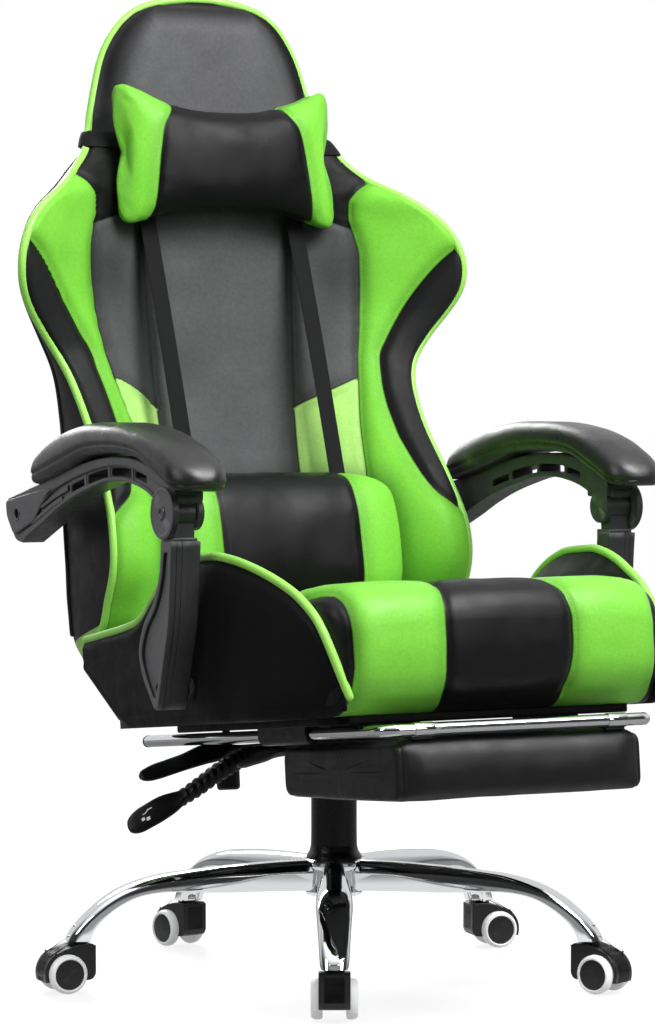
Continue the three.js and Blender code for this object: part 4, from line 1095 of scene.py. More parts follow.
def cushion_rings():
    L = np.concatenate([[0], np.cumsum(np.hypot(np.diff(CUSH[:, 0]), np.diff(CUSH[:, 3])))])
    t_ = np.concatenate([np.linspace(0, L[7], 52, endpoint=False), np.linspace(L[7], L[-1], 96)])
    c_ = [pchip(L, CUSH[:, k_], t_) for k_ in range(4)]
    out = []
    for y_, w_, b_, tp in zip(*c_):
        cr = min(40.0, (tp - b_) * 0.46)
        rb = min(14.0, (tp - b_) * 0.42)
        half = np.vstack([
            np.column_stack([np.linspace(0, w_ - rb, 61, endpoint=False), np.full(61, b_)]),
            [[w_ - rb + rb * math.sin(a), b_ + rb - rb * math.cos(a)] for a in np.linspace(0, math.pi / 2, 17)[:-1]],
            np.column_stack([np.full(8, w_), np.linspace(b_ + rb, tp - cr, 8, endpoint=False)]),
            [[w_ - cr * 1.05 + cr * 1.05 * math.cos(a) ** 0.86, tp - 3 - (cr - 3) + (cr - 3) * math.sin(a) ** 0.9] for a in np.linspace(0, math.pi / 2, 16)[:-1]],
            np.column_stack([np.linspace(w_ - cr * 1.05, 0, 62), tp - 3 + 3 * sstep(1 - np.linspace(w_ - cr * 1.05, 0, 62) / w_, 0, 0.5)]),
        ])
        full_ = np.vstack([half, (half[1:-1] * [-1, 1])[::-1]])
        out.append(np.column_stack([full_[:, 0], np.full(len(full_), y_), full_[:, 1]]))
    return np.array(out)


R = cushion_rings()
V, F = loft(R)
# the narrow front face is closed straight across, lower edge to upper edge
n0, nv = R.shape[0] * R.shape[1], R.shape[1]
nh = nv // 2
F = [[n0 if v_ == n0 + 1 else v_ for v_ in f_] for f_ in F if n0 not in f_]
V = np.delete(V, n0, 0)
mir = lambda j_: j_ if j_ in (0, nh) else nv - j_
for i_ in range(nh // 2):
    F.append([i_, i_ + 1, nh - 1 - i_, nh - i_])
    F.append([mir(i_ + 1), mir(i_), mir(nh - i_), mir(nh - 1 - i_)])
cush = mk("seat_cushion_cover", (SL(V), F), M_SEAT, "seat", replaces="seat_cushion", angle=180)


def seat_local(ob):
    P_ = coords(ob)
    y_, z_ = P_[:, 1], P_[:, 2] - 329.7
    return np.column_stack([P_[:, 0], y_ * CT - z_ * ST, y_ * ST + z_ * CT])


def seat_s(Q):
    return np.where((Q[:, 2] > 100) & (Q[:, 1] > -394), Q[:, 1] + 385, -9 - (151.5 - Q[:, 2]))


SEAT_C = ([-170, -130, -90, -60, -30, -9, 0, 40, 100, 480], [80, 83, 86, 86, 83, 77, 74, 66, 60, 57])
SEAT_K = ([-170, -60, -30, -9, 10, 30, 50, 62, 70], [206, 207, 208, 211, 214, 219, 227, 236, 260])


def seat_zones(Q):
    s_ = seat_s(Q)
    a_ = np.abs(Q[:, 0])
    dc = a_ - pchip(*SEAT_C, s_)
    dk = pchip(*SEAT_K, s_) - a_
    return s_, dc, np.where(s_ < 66, dk, 60.0)


def cushion_pins(P_):
    y_, z_ = P_[:, 1], P_[:, 2] - 329.7
    Q = np.column_stack([P_[:, 0], y_ * CT - z_ * ST, y_ * ST + z_ * CT])
    s_, dc, dk = seat_zones(Q)
    top_ = (Q[:, 2] > 30)
    front_ = 1 - sstep(Q[:, 1], -392, -300)
    p_ = np.where((np.abs(dc) < 4) & top_, 1.0, 0) + np.where((np.abs(dk) < 4) & top_, 0.8, 0)
    p_ += (Q[:, 2] < 14) * 1.0 + (Q[:, 1] > 60) * 1.0 + ((np.abs(Q[:, 0]) > pchip(CUSH[:, 0], CUSH[:, 1], Q[:, 1]) - 5) & (Q[:, 1] > -395)) * 1.0
    return np.clip(np.maximum(p_, front_), 0, 1)


puff(cush, 9.0, frames_=14, pressure=2.5, pins=cushion_pins, stiff=14)
Q = seat_local(cush)
s_, dc, dk = seat_zones(Q)
n_ = normals(cush)
d0 = np.minimum(np.abs(dc), np.abs(dk))
shape = 4.5 * (1 - np.exp(-d0 / 20.0)) - 3.2 * np.exp(-(d0 / 5.5) ** 2)
ok = sstep(Q[:, 2], 8, 26)
pk = vnoise(np.column_stack([s_ + Q[:, 1] * 0.01, d0 * 0.18, np.zeros(len(Q))]), 10.0, 21) * 0.18 * np.exp(-d0 / 10) * sstep(d0, 1.5, 5)
P = SL(Q) + n_ * ((shape + pk + vnoise(Q, (70, 60, 60), 22) * 1.4 + vnoise(Q, 26.0, 23) * 0.45) * ok)[:, None]
set_coords(cush, P)
set_attr(cush, "green", np.minimum(dc, dk))
set_attr(cush, "seam", d0 * np.sign(dc) * np.sign(dk))
set_attr(cush, "along", np.where(Q[:, 2] < 120, Q[:, 2], Q[:, 1]))

# ---------------------------------------------------------------- seat wings
RIDGE = np.array([
    # y, height of the piped ridge, half width there
    [-422, 12, 205], [-421, 30, 211], [-418, 52, 218], [-412, 76, 224], [-404, 97, 228.5], [-394, 113, 231.5], [-378, 129, 235], [-358, 144, 239], [-317, 165, 246.5], [-283, 179, 253.5],
    [-247, 190, 259.5], [-211, 196.5, 264.5], [-156, 197.5, 266.5], [-118.8, 191, 268], [-84, 178, 269], [-48, 155, 269.8], [-18, 134.5, 270.3], [4, 127, 270.5], [88.8, 118, 271], [177.8, 111.5, 271]], float)

WOUT = np.array([[-422, 207], [-419, 215], [-412, 226], [-402, 234.5], [-390, 240.5], [-358, 249.5], [-314, 258], [-283, 266], [-240, 272], [-200, 276.6], [-100, 277.6], [178, 277.6]], float)


def wing_rings():
    y_ = np.concatenate([np.linspace(-422, -418, 8, endpoint=False), np.linspace(-418, -384, 24, endpoint=False), np.linspace(-384, 150, 146)])
    zr, xr = pchip(RIDGE[:, 0], RIDGE[:, 1], y_), pchip(RIDGE[:, 0], RIDGE[:, 2], y_)
    xo = pchip(WOUT[:, 0], WOUT[:, 1], y_)
    xi = pchip(CUSH[:, 0], CUSH[:, 1], np.clip(y_, -430, 84)) - 2.0
    xi = np.where(y_ > 84, pchip([84, 98], [187, 262], np.clip(y_, 84, 98)), xi)
    top = pchip(CUSH[:, 0], CUSH[:, 3], np.clip(y_, -436, 94))
    out = []
    for y0, z0, x0, xo_, xi_, tp in zip(y_, zr, xr, xo, xi, top):
        zb = max(0.3, (y0 - 45) * 0.68) if y0 > 30 else 0.3
        zb = zb if y0 > 60 else 0.3 + 10.2 * sstep(y0, 30, 60)
        if y0 < -385:
            zb = 0.3 + 7 * (1 - sstep(y0, -422, -395))
        x0 = max(x0, xi_ + 1.2)
        xo_ = max(xo_, x0 + 1.5)
        rim = xi_ + 2.5 if y0 < 92 else xi_
        low = min(tp - 18, z0 - 9) if y0 < 92 else z0 - 6
        low = max(low, zb + 3)
        h_ = z0 - zb
        tin = 17.0 * float(1 - sstep(y0, -405, -300))
        lo_ = max(xo_ - 5 - tin, xi_ + 1.0)
        outer_ = spline([[lo_, zb], [max(xo_ - 0.6 - tin * 0.9, lo_ + 0.6), zb + min(7, h_ * 0.3)], [max(xo_ - tin * 0.7, lo_ + 1.0), zb + min(16, h_ * 0.45)], [xo_ + 0.3 - tin * 0.2, (zb + z0) / 2], [xo_, max(z0 - 26, zb + h_ * 0.6)],
                         [min(x0 + 7.5, xo_), z0 - min(9, h_ * 0.25)], [x0 + 1.5, z0 - 0.8]], n=30)
        bulge = 7 * sstep(z0 - low, 20, 90)
        inner_ = spline([[x0 - 1.5, z0 - 1.2], [max(x0 - 8, xi_ + 1), z0 - min(6, h_ * 0.2)], [max((x0 + rim) / 2 - bulge, xi_ + 0.8), (z0 + low) / 2], [rim, low], [xi_, low - 3]], n=30)
        down = np.column_stack([np.full(6, xi_), np.linspace(low - 3, zb + 0.5, 7)[1:]])
        floor_ = np.column_stack([np.linspace(xi_, lo_, 7)[1:-1], np.full(5, zb)])
        r_ = np.vstack([outer_, inner_, down, floor_])
        out.append(np.column_stack([r_[:, 0], np.full(len(r_), y0), r_[:, 1]]))
    return np.array(out), y_, zr, xr


R, wy, wz, wx = wing_rings()
Vw, Fw = loft(R)
nv = R.shape[1]
idx = np.arange(len(Vw) - 2) % nv
edge_d = np.minimum(np.abs(idx - 29.5) * 1.0, 99)
zb_line = np.repeat(R[:, :, 2].min(1), nv)
sm = np.where(idx < 26, np.abs(Vw[:-2, 2] - zb_line - 15.0), 99.0)
sm = np.append(sm, [99, 99])
sm = np.append(np.where(idx < 26, Vw[:-2, 2] - zb_line - 15.0, 99.0), [99, 99])
al = np.append(Vw[:-2, 1], [0, 0])
outer_side = np.append((idx < 26).astype(float), [0, 0])
inner_side = np.append(((idx > 31) & (idx < 58)).astype(float), [0, 0])
base_n = vnoise(Vw, (80, 90, 60), 41)
for s, side in ((1, "left"), (-1, "right")):
    part = (SL(Vw), Fw) if s > 0 else mirror((SL(Vw), Fw))
    wing = mk(f"seat_wing_{side}_cover", part, M_BLACK, "seat", replaces=f"seat_wing_{side}", angle=180)
    puff(wing, 5.0, frames_=10, pressure=1.2, stiff=16,
         pins=lambda P_, o=outer_side, i_=inner_side: np.clip(1.0 - 1.0 * i_, 0, 1))
    P_ = coords(wing)
    n_ = normals(wing)
    # leather pulls a little towards the lower seam and wrinkles over the inner bolster
    dv = -0.9 * np.exp(-(sm / 4.0) ** 2) - (0.6 + 0.5 * base_n) * outer_side + inner_side * (vnoise(P_, (34, 20, 34), 43) * 0.7 + vnoise(P_, (90, 60, 60), 44) * 1.2)
    set_coords(wing, P_ + n_ * dv[:, None])
    set_attr(wing, "seam", sm)
    set_attr(wing, "along", al)
    pp = SL(np.column_stack([np.maximum(wx, 0), wy, wz + 1.6]))[1 if s < 0 else int(np.searchsorted(wy, -413.5)):]
    pp = spline(pp, step=5.0) * [s, 1, 1]
    mk(f"seat_piping_{side}", tube(pp, 5.4, 14), M_PIPING, "seat", angle=180)

# a rounded rectangle outline
def rrect(x0, x1, y0, y1, r_):
    return round_poly([[x0, y0], [x1, y0], [x1, y1], [x0, y1]], r_, 6)


# ---------------------------------------------------------------- footrest pad
PADO = np.array([[-456, -48], [-456, -84], [-449, -96], [-436, -101], [-300, -96], [-186, -91.5], [-174, -86], [-168, -76], [-168, -44], [-176, -33], [-190, -30], [-436, -30], [-449, -36]], float)


def pad_rings():
    o = round_poly([[-451.5, -31.5], [-451.5, -99.5], [-300, -96.2], [-169, -91.2], [-169, -31.5]], [13, 13, 200, 13, 13], 8)
    # even steps round the outline
    o = np.vstack([o, o[:1]])
    L = np.concatenate([[0], np.cumsum(np.linalg.norm(np.diff(o, axis=0), axis=1))])
    t_ = np.linspace(0, L[-1], 150, endpoint=False)
    o = np.column_stack([np.interp(t_, L, o[:, 0]), np.interp(t_, L, o[:, 1])])
    c_ = np.array([-312, -65.0])
    out = []
    xs_ = np.concatenate([[-165.5 + 7 * (1 - math.cos(a)) for a in np.linspace(0, math.pi / 2, 6)], np.linspace(-156, 156, 62), [165.5 - 7 * (1 - math.cos(a)) for a in np.linspace(math.pi / 2, 0, 6)]])
    for x_ in xs_:
        e_ = max(0, abs(x_) - 158.5)
        ins = 7 - math.sqrt(max(0, 49 - e_ * e_))
        d_ = c_ - o
        out.append(np.column_stack([np.full(len(o), x_), o + np.sign(d_) * np.minimum(np.abs(d_), ins)]))
    ends0, ends1 = [], []
    for f_ in (0.12, 0.3, 0.5, 0.7, 0.86, 0.96):
        r0, r1 = out[0].copy(), out[-1].copy()
        for r_ in (r0, r1):
            r_[:, 1:] = c_ + (r_[:, 1:] - c_) * f_
        ends0.append(r0)
        ends1.append(r1)
    return np.array(ends0 + out + ends1[::-1])


R = pad_rings()
V, F = loft(R)
foot_pad = mk("footrest_pad_cover", (SL(V), F), M_FOOT, "footrest", replaces="footrest_pad", angle=180)


def pad_seam(Q):
    """Distance from the sewn edges: round both ends, and along the two upper and two lower long edges."""
    yz = np.minimum(np.abs(Q[:, 1] + 451.5), np.abs(Q[:, 1] + 169))
    z_edge = np.minimum(np.abs(Q[:, 2] + 31.5), np.abs(Q[:, 2] + 99.5 - (Q[:, 1] + 451.5) * 0.028))
    near_x = np.abs(np.abs(Q[:, 0]) - 160.0)

    ring_ = np.maximum(near_x, 0)
    end_ring = np.where(np.minimum(yz, z_edge) < 26, ring_, 99)
    return end_ring, np.hypot(np.maximum(yz - 3.8, 0), np.maximum(z_edge - 3.8, 0))


def pad_pins(P_):
    y_, z_ = P_[:, 1], P_[:, 2] - 329.7
    Q = np.column_stack([P_[:, 0], y_ * CT - z_ * ST, y_ * ST + z_ * CT])
    a_, b_ = pad_seam(Q)
    return np.clip((a_ < 3.0) * 1.0 + (np.abs(Q[:, 0]) > 150) * 1.0 + (Q[:, 2] > -34) * 0.9 + (b_ < 2.5) * 0.6, 0, 1)


puff(foot_pad, 5.0, frames_=12, pressure=1.6, pins=pad_pins, stiff=16)
Q = seat_local(foot_pad)
a_, b_ = pad_seam(Q)
n_ = normals(foot_pad)
on_end = np.abs(Q[:, 0]) > 158
sd = np.where(a_ < 12, a_, 99)
dv = -1.7 * np.exp(-(a_ / 2.6) ** 2) + (vnoise(Q, (60, 50, 40), 51) * 0.9 + vnoise(Q, 24.0, 52) * 0.3) * sstep(np.minimum(a_, 30), 2, 14) + 2.2 * sstep(a_, 3, 40) * sstep(Q[:, 2], -30, -50) * (1 - sstep(Q[:, 2], -84, -99))
# the front face is crowned from edge to edge, the top sits up under the tube
cf = np.clip(1 - ((Q[:, 2] + 65.0) / 33.0) ** 2, 0, 1) * (1 - sstep(Q[:, 1], -452, -440)) * sstep(158 - np.abs(Q[:, 0]), -6, 26)
ce = np.clip(1 - ((Q[:, 2] + 65.0) / 33.0) ** 2, 0, 1) * on_end * np.clip(1 - ((Q[:, 1] + 312) / 140.0) ** 2, 0, 1)
Q = Q.copy()
Q[:, 1] -= 7.5 * cf
Q[:, 0] += np.sign(Q[:, 0]) * 4.0 * ce
Q[:, 2] += 6.0 * sstep(Q[:, 2], -44, -31) * sstep(Q[:, 1], -470, -440) * (1 - sstep(Q[:, 1], -210, -180)) * (1 - sstep(np.abs(Q[:, 0]), 140, 160))
set_coords(foot_pad, SL(Q) + n_ * dv[:, None])
set_attr(foot_pad, "seam", np.minimum(sd, 99))
set_attr(foot_pad, "along", Q[:, 1] + Q[:, 2])

# ---------------------------------------------------------------- under the seat
apron = round_poly([[-196, -384], [196, -384], [205, -340], [196, 60], [158, 60], [158, -300], [-158, -300], [-158, 60], [-196, 60], [-205, -340]], 12, 6)
V, F = plate([apron], -8.6, 3.0, 2.4, axis="z")
mk("seat_apron_cover", (SL(V), F), M_BLACK, "seat", angle=40)

# ---------------------------------------------------------------- armrests
ARM_X, ARM_A, ARM_B, ARM_C = 306.0, (250, 588), (-178, 600), (-151, 390)
PAD_TOP = np.array([[-276, 656], [-268, 659], [-244, 668], [-194, 687], [-126, 700.5], [-56, 706.5], [16, 706.5], [108, 700], [185, 685], [236, 664.5], [241, 661]], float)
PAD_BOT = np.array([[-276, 616], [-268, 615], [-244, 620], [-194, 640], [-126, 665], [-56, 669], [16, 665.5], [108, 648.5], [185, 634], [236, 627], [241, 628]], float)
PAD_W = np.array([[-276, 37.5], [-126, 38], [100, 36], [185, 34], [241, 32]], float)
PAD_SEAM = np.array([[-276, 634], [-262, 634.5], [-244, 637], [-194, 655], [-126, 676], [-56, 680], [16, 677], [108, 662], [185, 648], [241, 638]], float)
PAD_TOP[:3, 1] += (3, 3, 2)
PAD_BOT[:4, 1] += (8, 8, 7, 4)
for T in (PAD_TOP, PAD_BOT, PAD_W, PAD_SEAM):
    T[:, 0] = np.interp(T[:, 0], [-276, -194, 16, 241], [-248, -180, 10, 192])


def ring_circle(c, r, n=40):
    a = np.linspace(0, 2 * math.pi, n, endpoint=False)
    return np.column_stack([c[0] + r * np.cos(a), c[1] + r * np.sin(a)])


def armpad():
    """Dome-topped pad: one soft superelliptic section all along, both ends turned over like the nose of a shoe."""
    y0_, y1_, n0, n1 = -248.0, 192.0, 38.0, 13.0
    d0 = n0 * (1 - np.cos(np.linspace(0, math.pi / 2, 26)))
    d1 = n1 * (1 - np.cos(np.linspace(0, math.pi / 2, 16)))
    y_ = np.concatenate([y0_ + d0[1:], np.linspace(y0_ + n0, y1_ - n1, 96)[1:-1], (y1_ - d1[1:])[::-1]])
    zt, zb, w_ = (pchip(T[:, 0], T[:, 1], y_) for T in (PAD_TOP, PAD_BOT, PAD_W))
    e0, e1 = np.clip(1 - (y_ - y0_) / n0, 0, 1), np.clip(1 - (y1_ - y_) / n1, 0, 1)
    kw = (1 - e0 ** 2.3) ** (1 / 2.3) * (1 - e1 ** 3.0) ** (1 / 3.0)
    kt = (1 - e0 ** 2.1) ** (1 / 2.1) * (1 - e1 ** 2.6) ** (1 / 2.6)
    mid = zb + (zt - zb) * 0.36
    zt2 = mid + (zt - mid) * kt
    zb2 = mid - (mid - zb) * (1 - e0 ** 2.2) ** (1 / 2.2) * (1 - e1 ** 3.0) ** (1 / 3.0)
    w_ = w_ * kw
    sec = spline([[0, 0.0], [0.5, 0.0], [0.78, 0.015], [0.92, 0.08], [0.98, 0.19], [1.0, 0.31], [0.99, 0.44], [0.94, 0.61], [0.83, 0.78], [0.64, 0.91], [0.36, 0.982], [0, 1.0]], n=52)
    lat, up = sec[:, 0].copy(), sec[:, 1].copy()
    lat[0] = lat[-1] = 0
    R_ = []
    for y0, t0, b0, w0 in zip(y_, zt2, zb2, w_):
        half = np.column_stack([w0 * lat, b0 + (t0 - b0) * up])
        full_ = np.vstack([half, (half[1:-1] * [-1, 1])[::-1]])
        R_.append(np.column_stack([ARM_X - 1 + full_[:, 0], np.full(len(full_), y0), full_[:, 1]]))
    R_ = np.array(R_)
    V_, F_ = loft(R_)
    seam_ = V_[:, 2] - pchip(PAD_SEAM[:, 0], PAD_SEAM[:, 1], V_[:, 1])
    return V_, F_, seam_, None


# bracket outline: smooth arch above, smooth arch below
B_TOP = [[290, 607], [222, 621], [167, 632], [95, 648.5], [7, 662.5], [-50, 666], [-116, 660.5], [-164, 645], [-196, 629]]
B_LOW = [[-150, 614], [-121, 625], [-88, 632], [-61, 635], [-16, 634], [42, 623], [92, 610], [140, 593], [173, 579], [204, 567], [246, 551]]
top_s, low_s = spline(B_TOP, n=60), spline(B_LOW, n=60)
outline_b = np.vstack([top_s, round_poly([[-198, 624], [-198, 612], [-168, 604]], 5, 3)[1:-1], low_s, spline([[246, 551], [264, 554], [284, 577], [293, 592], [290, 607]], n=14)[1:-1]])


def between(y, f):
    """z between the lower and upper arch."""
    o1, o2 = np.argsort(top_s[:, 0]), np.argsort(low_s[:, 0])
    return np.interp(y, low_s[o2, 0], low_s[o2, 1]) * (1 - f) + np.interp(y, top_s[o1, 0], top_s[o1, 1]) * f


def slot_hole(y0, y1, f0=0.20, f1=0.52):
    ys_ = np.linspace(y0, y1, 12)
    lo_, hi_ = between(ys_, f0), between(ys_, f1)
    return round_poly(np.vstack([np.column_stack([ys_, lo_]), np.column_stack([ys_, hi_])[::-1]]), 2.5, 3)


slots = [slot_hole(52, 92, 0.24, 0.46), slot_hole(-18, 43), slot_hole(-84, -25), slot_hole(-122, -91, 0.26, 0.5)]


def band_between(y0, y1, f0, f1, n=50):
    ys_ = np.linspace(y0, y1, n)
    return np.vstack([np.column_stack([ys_, between(ys_, f0)]), np.column_stack([ys_, between(ys_, f1)])[::-1]])


LEG = [[-197, 567], [-193, 512], [-188, 465], [-172, 418], [-161, 368], [-152, 363], [-120, 400], [-106, 430], [-118, 462], [-148, 494], [-163, 523], [-169, 567]]
leg_front = spline([[-197, 567], [-194.5, 540], [-192.5, 512], [-187, 465], [-173.5, 418], [-164, 384], [-160, 370]], n=30)
leg_back = spline([[-148, 367], [-134, 383], [-119, 401], [-107.5, 430], [-118, 462], [-147, 494], [-162, 523], [-168.5, 567]], n=40)
leg_out = np.vstack([leg_front, [[-156, 364.5]], leg_back])
pk_front = spline([[-186.5, 553], [-185.5, 520], [-181, 472], [-166.5, 426], [-158, 392], [-153.5, 377]], n=24)
pk_back = spline([[-146, 379], [-128, 402], [-116, 430], [-126, 457], [-154, 489], [-169.5, 521], [-176, 553]], n=30)
leg_pocket = round_poly(np.vstack([pk_front, pk_back]), 2.0, 2)


def solids_arm():
    """Parts of one armrest on the +X side: bracket pieces, leg pieces, metal pieces."""
    b, l, m_ = [], [], []
    x = ARM_X
    b.append(plate([outline_b] + slots + [ring_circle(ARM_A, 6.2, 24)], x - 16, x + 16.5, 2.2))
    # raised edges on the outer face: the upper arch, the slim lower arch and the ribs of the rear end
    b.append(plate([band_between(-188, 216, 0.60, 0.985, 70)], x + 12, x + 20.5, 2.6))
    b.append(plate([band_between(-146, 235, 0.02, 0.17, 70)], x + 12, x + 19, 1.6))
    for ya in (47.5, -21.5, -87.5):
        b.append(plate([np.array([[ya - 2.2, between(ya - 2.2, 0.08)], [ya + 2.2, between(ya + 2.2, 0.08)], [ya + 3.4, between(ya + 3.4, 0.64)], [ya - 1.2, between(ya - 1.2, 0.64)]])], x + 10, x + 18.5, 1.2))
    rear = round_poly([[198, 580], [262, 560], [284, 584], [287, 604], [222, 614], [168, 622], [140, 622], [176, 602]], [5, 8, 8, 6, 20, 20, 4, 10], 5)
    b.append(plate([rear, ring_circle(ARM_A, 6.2, 24)], x + 12, x + 21.5, 2.6))
    for o in ([[112, 608], [150, 596], [206, 575], [212, 579], [154, 601], [116, 614]], [[96, 621], [140, 609], [178, 596], [182, 600], [142, 614], [98, 628]]):
        b.append(plate([round_poly(o, 2.0, 3)], x + 12, x + 20, 1.6))
    # boss towards the back shell, and the pad's seat over the pivot
    Vb_, Fb_ = lathe(fillet([[6.2, 260.5], [15, 260.5], [16, 262], [17.5, x - 14], [6.2, x - 14]], 1.0, 3), 40, "x", (0, *ARM_A))
    b.append((Vb_, Fb_))
    b.append(plate([round_poly([[-197, 612], [-197, 630], [-164, 646], [-150, 641], [-150, 612]], [6, 6, 10, 4, 4], 4)], x - 23, x + 16, 2.5))
    b.append(lathe(fillet([[0.01, x + 15], [31, x + 15], [31, x + 23.4], [27.5, x + 24.3], [25.2, x + 23.4], [0.01, x + 23.2]], 0.9, 3), 72, "x", (0, *ARM_B)))
    b.append(lathe(fillet([[0.01, x - 23.8], [19.5, x - 23.8], [21, x - 22.4], [21, x - 15.4], [0.01, x - 15.4]], 0.9, 3), 56, "x", (0, *ARM_B)))
    # leg: body, rim round the recess, barrel and its tab
    l.append(plate([leg_out], x - 20, x + 8.5, 3.0))
    l.append(plate([leg_out, ring_circle(ARM_C, 6.0, 24)], x + 2, x + 15.5, 2.6))
    l.append(plate([leg_out, leg_pocket[::-1]], x + 9.5, x + 20.2, 2.0))
    l.append(plate([round_poly([[-190.5, 558], [-171, 558], [-166, 597], [-190.5, 597]], 3, 3)], x - 14.2, x + 14.2, 1.6))
    l.append(lathe(fillet([[0.01, x - 14.6], [16.2, x - 14.6], [17.5, x - 13.4], [17.5, x + 13.4], [16.2, x + 14.6], [0.01, x + 14.6]], 0.6, 2), 56, "x", (0, *ARM_B)))
    l.append(plate([round_poly([[-193, 560], [-164, 560], [-164, 571], [-193, 571]], 2, 3)], x - 17, x + 17, 1.5))
    # metal: bolt in the pivot disc, bolt head in the leg's recess, bush of the rear hole
    m_.append((lathe(fillet([[0.01, x + 22.6], [8.6, x + 22.6], [8.6, x + 24.4], [7.6, x + 25.2], [4.4, x + 25.0], [3.9, x + 23.6], [0.01, x + 23.6]], 0.5, 3), 40, "x", (0, *ARM_B)), "arm", "pivot_bolt"))
    m_.append((lathe(fillet([[6.2, x + 16.5], [9.2, x + 16.5], [9.2, x + 21.9], [8.6, x + 22.4], [6.4, x + 22.2], [6.0, x + 21.0], [6.0, x - 5]], 0.4, 2), 32, "x", (0, *ARM_A)), "arm", "rear_bush"))
    m_.append((lathe(fillet([[0.01, x + 7.6], [5.2, x + 7.6], [5.2, x + 9.2], [4.4, x + 9.8], [2.6, x + 9.8], [2.4, x + 8.6], [0.01, x + 8.6]], 0.3, 2), 24, "x", (0, *ARM_C)), "arm_leg", "leg_bolt_end"))
    return b, l, m_


b_parts, l_parts, m_parts = solids_arm()
Va, Fa, sma, upa = armpad()
for s, side in ((1, "left"), (-1, "right")):
    mm = (lambda p_: p_) if s > 0 else mirror
    br_ = mk(f"arm_bracket_{side}_body", mm(merge(*b_parts)), M_GREYPLASTIC, f"arm_{side[0]}", replaces=f"arm_bracket_{side}", angle=34, weighted=True)
    lg_ = mk(f"arm_leg_{side}_body", mm(merge(*l_parts)), M_GREYPLASTIC, f"arm_leg_{side[0]}", replaces=f"arm_leg_{side}", angle=34, weighted=True)
    # painted shade on the bracket and leg: faces turned forward, down and inward are darkened in the colour
    for ob_ in (br_, lg_):
        nn_ = normals(ob_)
        set_attr(ob_, "painted_side_shade", np.clip(sstep(-nn_[:, 1], 0.45, 0.85) * 0.85 + sstep(-nn_[:, 2], 0.5, 0.9) * 0.5 + sstep(nn_[:, 0] * s * -1, 0.5, 0.9) * 0.6, 0, 0.85))
    for part, bd_, nm in m_parts:
        mk(f"{nm}_{side}", mm(part), M_BOLTBLACK, f"{bd_}_{side[0]}", angle=40)
    pad = mk(f"arm_pad_{side}_skin", mm((Va, Fa)), M_ARMPAD, f"arm_{side[0]}", replaces=f"arm_pad_{side}", angle=180)
    P_ = coords(pad)
    n_ = normals(pad)
    lip = 0.8 * sstep(sma, 0.5, 4.0) * (1 - sstep(sma, 14, 30))
    groove = -1.2 * np.exp(-(sma / 2.0) ** 2)
    dv = lip + groove + vnoise(P_, (40, 55, 30), 61) * 0.6
    set_coords(pad, P_ + n_ * dv[:, None])
    set_attr(pad, "seam", sma)
    set_attr(pad, "along", P_[:, 1])

# ---------------------------------------------------------------- star base
BASE_R, WHEEL_R, TRAIL = 335.0, 24.5, 20.0
ARM_YAW = [math.radians(a - 118.578) for a in (0, 72, 144, 216, 288)]
CASTER_YAW = [61.4, -65.5, -10.6, 101.2, 175.7]
ARM = np.array([
    # r top, z top, r bottom, z bottom, half width
    [14, 153, 14, 113, 16.5], [90, 151.5, 90, 115, 18.2], [150, 148.5, 150, 116, 20.5], [196, 144.7, 198, 118.6, 22],
    [229, 141, 222, 119.8, 22.6], [256, 135, 243, 118.5, 22.4], [281, 126, 263, 114.5, 21.6], [303, 113.5, 281, 106.5, 20.6],
    [322, 98.5, 297, 96, 19.6], [337, 84, 310, 84, 18.6], [346, 72, 319, 71, 17.8], [350, 63.5, 321, 63.5, 17]], float)


def base_arm():
    L = np.concatenate([[0], np.cumsum(np.hypot(np.diff(ARM[:, 0]), np.diff(ARM[:, 1])))])
    t_ = np.linspace(0, L[-1], 90)
    rt, zt, rb, zb, w_ = (spline(np.column_stack([L, ARM[:, k_]]), n=600) for k_ in range(5))
    rt, zt, rb, zb, w_ = (np.interp(t_, q_[:, 0], q_[:, 1]) for q_ in (rt, zt, rb, zb, w_))
    R_ = []
    for k_, (a, b, c, d, w0) in enumerate(zip(rt, zt, rb, zb, w_)):
        cr = 0.50 * (1 - sstep(a, 60, 215)) + 0.10                 # where the side turns under: low along the outer half
        half = spline([[0, 1.0], [0.26, 0.992], [0.50, 0.955], [0.74, 0.86], [0.92, 0.70], [0.985, 0.5 * (0.70 + cr)], [1.0, cr + 0.03]], n=26)
        low = spline([[0.985, cr - 0.035], [0.93, cr * 0.62], [0.84, cr * 0.28], [0.72, 0.03], [0.60, 0.0]], n=12)
        inn = np.array([[0.5, 0.0], [0.46, 0.10], [0.40, 0.14], [0, 0.15]])
        h_ = np.vstack([half, low, inn])
        full_ = np.vstack([h_, (h_[1:-1] * [-1, 1])[::-1]])
        s_ = full_[:, 1]
        R_.append(np.column_stack([c + (a - c) * s_, full_[:, 0] * w0, d + (b - d) * s_]))
    # the end turns over softly
    e0, e1 = R_[-1].copy(), R_[-1].copy()
    m0 = R_[-1].mean(0)
    e0[:, :2] = m0[:2] + (e0[:, :2] - m0[:2]) * 0.965
    e0[:, 2] -= 0.8
    e1[:, :2] = m0[:2] + (e1[:, :2] - m0[:2]) * 0.90
    e1[:, 2] -= 1.0
    return loft(np.array(R_ + [e0, e1]))


